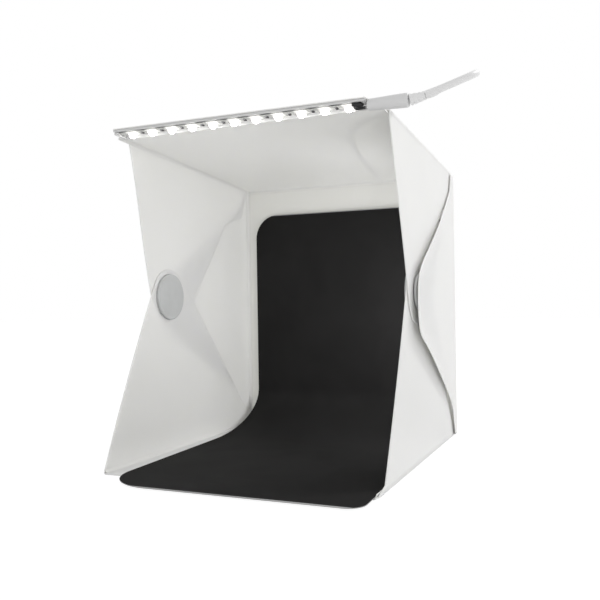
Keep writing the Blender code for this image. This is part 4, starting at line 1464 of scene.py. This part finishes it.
def backdrop_path():
    """Rear surface of the backdrop from its top edge to its front edge: forward, z."""
    rear = PAD_T * 2 + GAP * 3
    floor = SHEET_T + GAP
    backdrop_top = BACK_HEIGHT - BACKDROP_TOP_CLEAR
    front = BASE_DEPTH + BACKDROP_OVERHANG
    top = Vector((rear, COVE_HEIGHT))
    foot = Vector((COVE_RUN, floor))
    drop, run = COVE_HANDLE_SHARES
    first = Vector((rear, COVE_HEIGHT * drop))
    second = Vector((COVE_RUN * run, floor))
    path = [Vector((rear, backdrop_top)), top]
    for k in range(1, COVE_STEPS):
        t = k / COVE_STEPS
        s = 1 - t
        path.append(top * s ** 3 + first * 3 * s * s * t + second * 3 * s * t * t + foot * t ** 3)
    return path + [foot, Vector((front, floor))]


def edge_stations(total):
    """Distances along the backdrop: close together round its corners."""
    stations = []
    turns = BACKDROP_CORNER_STEPS
    first, last = BACKDROP_CORNER_R, BACKDROP_FRONT_LEFT_R
    for k in range(turns + 1):
        stations.append(first * (1 - math.cos(math.pi / 2 * k / turns)))
    middle = round((total - first - last) / BACKDROP_STEP)
    for k in range(1, middle):
        stations.append(first + (total - first - last) * k / middle)
    for k in range(turns * 2 + 1):
        stations.append(total - last * (1 - math.sin(math.pi / 2 * k / (turns * 2))))
    return stations


def corner_inset(room, radius):
    """How far a rounded corner draws a side in, at a distance from the sheet's end."""
    short = max(radius - room, 0)
    return radius - math.sqrt(max(radius ** 2 - short ** 2, 0))


def walk(path, distance):
    """Place and direction at a distance along a line."""
    for a, b in zip(path, path[1:]):
        length = (b - a).length
        if distance <= length:
            return a.lerp(b, distance / length), (b - a).normalized()
        distance -= length
    return path[-1], (path[-1] - path[-2]).normalized()


def add_backdrop():
    """Black sheet that hangs from the pads, sweeps round the cove and runs out in front."""
    path = backdrop_path()
    total = sum((b - a).length for a, b in zip(path, path[1:]))
    width = BASE_HIGH.x * 2 - BACKDROP_SIDE_CLEAR * 2
    shape = bmesh.new()
    rows = []
    for distance in edge_stations(total):
        point = walk(path, distance)[0]
        ahead = walk(path, min(distance + BACKDROP_LOOK, total))[1]
        behind = walk(path, max(distance - BACKDROP_LOOK, 0))[1]
        run = (ahead + behind).normalized()
        normal = Vector((-run.y, run.x))
        middle = BACKDROP_SHIFT + BACKDROP_SKEW_SHARE * point.x
        near_top = corner_inset(distance, BACKDROP_CORNER_R)
        left = middle - width / 2 + near_top + corner_inset(total - distance, BACKDROP_FRONT_LEFT_R)
        right = middle + width / 2 - near_top - corner_inset(total - distance, BACKDROP_FRONT_RIGHT_R)
        front = point + normal * BACKDROP_T
        columns = [left + (right - left) * k / BACKDROP_COLUMNS for k in range(BACKDROP_COLUMNS + 1)]
        rows.append([shape.verts.new((x, BACK_Y - front.x, front.y)) for x in columns])
    bridge(shape, rows, closed=False)
    backdrop = add_piece("backdrop_sheet", shape, [backdrop_finish()])
    thickened(backdrop, Vector((0, -1, 0)), BACKDROP_T)
    bevelled(backdrop, BACKDROP_T * RIM_SHARE, 1)
    mark_painted_rim_highlight(backdrop)
    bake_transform(backdrop)
    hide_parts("backdrop")


def mark_painted_rim_highlight(piece):
    """Mask of the painted highlight on the backdrop's cut rim: one on its small faces."""
    most = BACKDROP_T * BACKDROP_STEP * RIM_FACE_SHARE
    mask = [1.0 if face.area < most else 0.0 for face in piece.data.polygons]
    layer = piece.data.attributes.new("rim", "FLOAT", "FACE")
    layer.data.foreach_set("value", mask)


def add_pads():
    """Hook pads on the back and loop pads on the backdrop."""
    for kind in ("hook", "loop"):
        for side in ("left", "right"):
            node = f"{kind}_pad_{side}"
            low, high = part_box(node)
            shape = bmesh.new()
            add_block(shape, (low + high) / 2, high - low)
            piece = add_piece(f"{kind}_tape_{side}", shape, [pad_finish()])
            bevelled(piece, PAD_ROUND)
            tie(piece, "back", node)


# Stage

def add_camera():
    """Camera of the photograph's perspective."""
    ahead = Vector((
        -math.sin(CAMERA_YAW) * math.cos(CAMERA_PITCH),
        math.cos(CAMERA_YAW) * math.cos(CAMERA_PITCH), math.sin(CAMERA_PITCH),
    ))
    right = Vector((math.cos(CAMERA_YAW), math.sin(CAMERA_YAW), 0))
    up = right.cross(ahead)
    level = right * math.cos(CAMERA_ROLL) + up * math.sin(CAMERA_ROLL)
    top = up * math.cos(CAMERA_ROLL) - right * math.sin(CAMERA_ROLL)
    place = Matrix((level, top, -ahead)).transposed().to_4x4()
    place.translation = CAMERA_PLACE
    data = bpy.data.cameras.new("camera")
    data.lens = CAMERA_LENS
    data.clip_start = 0.01
    camera = bpy.data.objects.new("camera", data)
    camera.matrix_world = place
    bpy.context.scene.collection.objects.link(camera)
    bpy.context.scene.camera = camera


def white_to_camera(tree):
    """One for rays from the camera, mirrors and glass, which see plain white."""
    path = add_node(tree, "LightPath")
    seen = add_node(tree, "Math", operation="MAXIMUM")
    either = add_node(tree, "Math", operation="MAXIMUM")
    join(
        tree,
        (path, "Is Camera Ray", seen, 0), (path, "Is Glossy Ray", seen, 1), (seen, "Value", either, 0),
        (path, "Is Transmission Ray", either, 1),
    )
    return either


def add_world():
    """A world that lights softly and shows plain white."""
    world = bpy.data.worlds.new("studio")
    world.use_nodes = True
    bpy.context.scene.world = world
    tree = world.node_tree
    plain = tree.nodes["Background"]
    give(plain, {"Color": (1, 1, 1, 1), "Strength": WORLD_STRENGTH})
    white = add_node(tree, "Background", {"Color": (1, 1, 1, 1), "Strength": 1.0})
    mix = add_node(tree, "MixShader")
    join(
        tree,
        (white_to_camera(tree), "Value", mix, "Fac"), (plain, "Background", mix, 1),
        (white, "Background", mix, 2), (mix, "Shader", tree.nodes["World Output"], "Surface"),
    )


def add_floor():
    """Pale floor that keeps a faint shadow and otherwise looks as white as the background."""
    shape = bmesh.new()
    bmesh.ops.create_grid(shape, x_segments=1, y_segments=1, size=FLOOR_SIZE)
    material = bpy.data.materials.new("studio_floor")
    material.use_nodes = True
    tree = material.node_tree
    shader = tree.nodes["Principled BSDF"]
    give(shader, {"Base Color": (0.92, 0.92, 0.92, 1), "Roughness": 0.9})
    white = add_node(tree, "Emission", {"Strength": FLOOR_GLOW})
    share = add_node(tree, "Math", {1: FLOOR_WHITE_SHARE}, operation="MULTIPLY")
    mix = add_node(tree, "MixShader")
    join(
        tree,
        (white_to_camera(tree), "Value", share, 0), (share, "Value", mix, "Fac"),
        (shader, "BSDF", mix, 1), (white, "Emission", mix, 2),
        (mix, "Shader", tree.nodes["Material Output"], "Surface"),
    )
    floor = add_piece("studio_floor", shape, [material], smooth=False)
    floor.location.z = -FLOOR_DROP


def add_light(name, energy, size, place):
    """A soft light that the camera doesn't see: a disk, or a rectangle with two sizes."""
    data = bpy.data.lights.new(name, "AREA")
    data.shape = "DISK" if len(size) == 1 else "RECTANGLE"
    data.size = size[0]
    data.size_y = size[-1]
    data.energy = energy
    light = bpy.data.objects.new(name, data)
    light.matrix_world = place
    light.visible_camera = False
    bpy.context.scene.collection.objects.link(light)
    return light


def aimed(place, target):
    turn = (Vector(target) - Vector(place)).to_track_quat("-Z", "Y")
    return Matrix.Translation(place) @ turn.to_matrix().to_4x4()


def add_stage():
    """Camera, world, floor, the soft box, a fill inside the right side, and the lamps' own light."""
    add_camera()
    add_world()
    add_floor()
    add_light("key_softbox", KEY_POWER, (KEY_SIZE,), aimed(*KEY_RUN))
    fill = add_light("side_fill", SIDE_FILL_POWER, (SIDE_FILL_SIZE,), aimed(*SIDE_FILL_RUN))
    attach(fill, "lower_flap_right")
    below = Matrix.Translation((0, BAR_DEPTH / 2 - roof_length(), -BAR_HEIGHT - LENS_RISE * 2))
    place = ROOF_PLACE @ below @ Matrix.Rotation(LAMP_LIGHT_TILT, 4, "X")
    size = (BAR_LENGTH * LAMP_LIGHT_SHARES[0], BAR_DEPTH * LAMP_LIGHT_SHARES[1])
    lamps = add_light("lamp_light", LAMP_POWER, size, place)
    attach(lamps, "roof")
    bpy.context.scene.view_settings.view_transform = "Standard"


class LIGHT_TENT_OT_stage(bpy.types.Operator):
    """Add the camera, the world, the floor and the soft light"""

    bl_idname = "light_tent.stage"
    bl_label = "Stage"

    def execute(self, context):
        add_stage()
        return {"FINISHED"}


class LIGHT_TENT_OT_power(bpy.types.Operator):
    """Add the socket, the plug and its ribbed sleeve"""

    bl_idname = "light_tent.power"
    bl_label = "Power Plug"

    def execute(self, context):
        add_socket()
        add_power_plug()
        return {"FINISHED"}


class LIGHT_TENT_OT_lead(bpy.types.Operator):
    """Add the lead with its coil and USB plug"""

    bl_idname = "light_tent.lead"
    bl_label = "Lead"

    def execute(self, context):
        add_usb_plug()
        add_lead()
        return {"FINISHED"}


class LIGHT_TENT_OT_panels(bpy.types.Operator):
    """Add the back, base, roof, side flaps and rear webs"""

    bl_idname = "light_tent.panels"
    bl_label = "Panels"

    def execute(self, context):
        add_panels()
        return {"FINISHED"}


class LIGHT_TENT_OT_creases(bpy.types.Operator):
    """Add the creases that join the panels along their folds"""

    bl_idname = "light_tent.creases"
    bl_label = "Creases"

    def execute(self, context):
        add_creases()
        return {"FINISHED"}


class LIGHT_TENT_OT_closures(bpy.types.Operator):
    """Add the closure covers and their magnets"""

    bl_idname = "light_tent.closures"
    bl_label = "Closures"

    def execute(self, context):
        add_closures()
        return {"FINISHED"}


class LIGHT_TENT_OT_lamp_bar(bpy.types.Operator):
    """Add the lamp bar, its end cap and the circuit strip"""

    bl_idname = "light_tent.lamp_bar"
    bl_label = "Lamp Bar"

    def execute(self, context):
        add_lamp_bar()
        return {"FINISHED"}


class LIGHT_TENT_OT_lamps(bpy.types.Operator):
    """Add the lamps and the resistors between them"""

    bl_idname = "light_tent.lamps"
    bl_label = "Lamps"

    def execute(self, context):
        add_lamps()
        return {"FINISHED"}


class LIGHT_TENT_OT_backdrop(bpy.types.Operator):
    """Add the backdrop and the tape pads that hold it"""

    bl_idname = "light_tent.backdrop"
    bl_label = "Backdrop"

    def execute(self, context):
        add_backdrop()
        add_pads()
        return {"FINISHED"}


class LIGHT_TENT_PT_panel(bpy.types.Panel):
    """Steps that build the light tent"""

    bl_label = "Light Tent"
    bl_idname = "LIGHT_TENT_PT_panel"
    bl_space_type = "VIEW_3D"
    bl_region_type = "UI"
    bl_category = "Light Tent"

    def draw(self, context):
        layout = self.layout
        for field in ("sheet", "painted_back_shade", "cover", "backdrop", "lead", "glow"):
            layout.prop(context.scene.light_tent_colours, field)
        for field in ("left_swell", "right_swell", "wave", "glow"):
            layout.prop(context.scene.light_tent_sizes, field)
        for operator in STEPS:
            layout.operator(operator.bl_idname)


STEPS = (
    LIGHT_TENT_OT_stage, LIGHT_TENT_OT_power, LIGHT_TENT_OT_lead, LIGHT_TENT_OT_panels,
    LIGHT_TENT_OT_creases, LIGHT_TENT_OT_closures, LIGHT_TENT_OT_lamp_bar, LIGHT_TENT_OT_lamps,
    LIGHT_TENT_OT_backdrop,
)
CLASSES = (TentColours, TentSizes, *STEPS, LIGHT_TENT_PT_panel)


def register():
    for item in CLASSES:
        bpy.utils.register_class(item)
    bpy.types.Scene.light_tent_colours = PointerProperty(type=TentColours)
    bpy.types.Scene.light_tent_sizes = PointerProperty(type=TentSizes)


def unregister():
    del bpy.types.Scene.light_tent_sizes
    del bpy.types.Scene.light_tent_colours
    for item in reversed(CLASSES):
        bpy.utils.unregister_class(item)


def main():
    """Build the tent step by step."""
    register()
    bpy.ops.light_tent.stage()
    bpy.ops.light_tent.power()
    bpy.ops.light_tent.lead()
    bpy.ops.light_tent.panels()
    bpy.ops.light_tent.creases()
    bpy.ops.light_tent.closures()
    bpy.ops.light_tent.lamp_bar()
    bpy.ops.light_tent.lamps()
    bpy.ops.light_tent.backdrop()


if __name__ == "__main__":
    main()
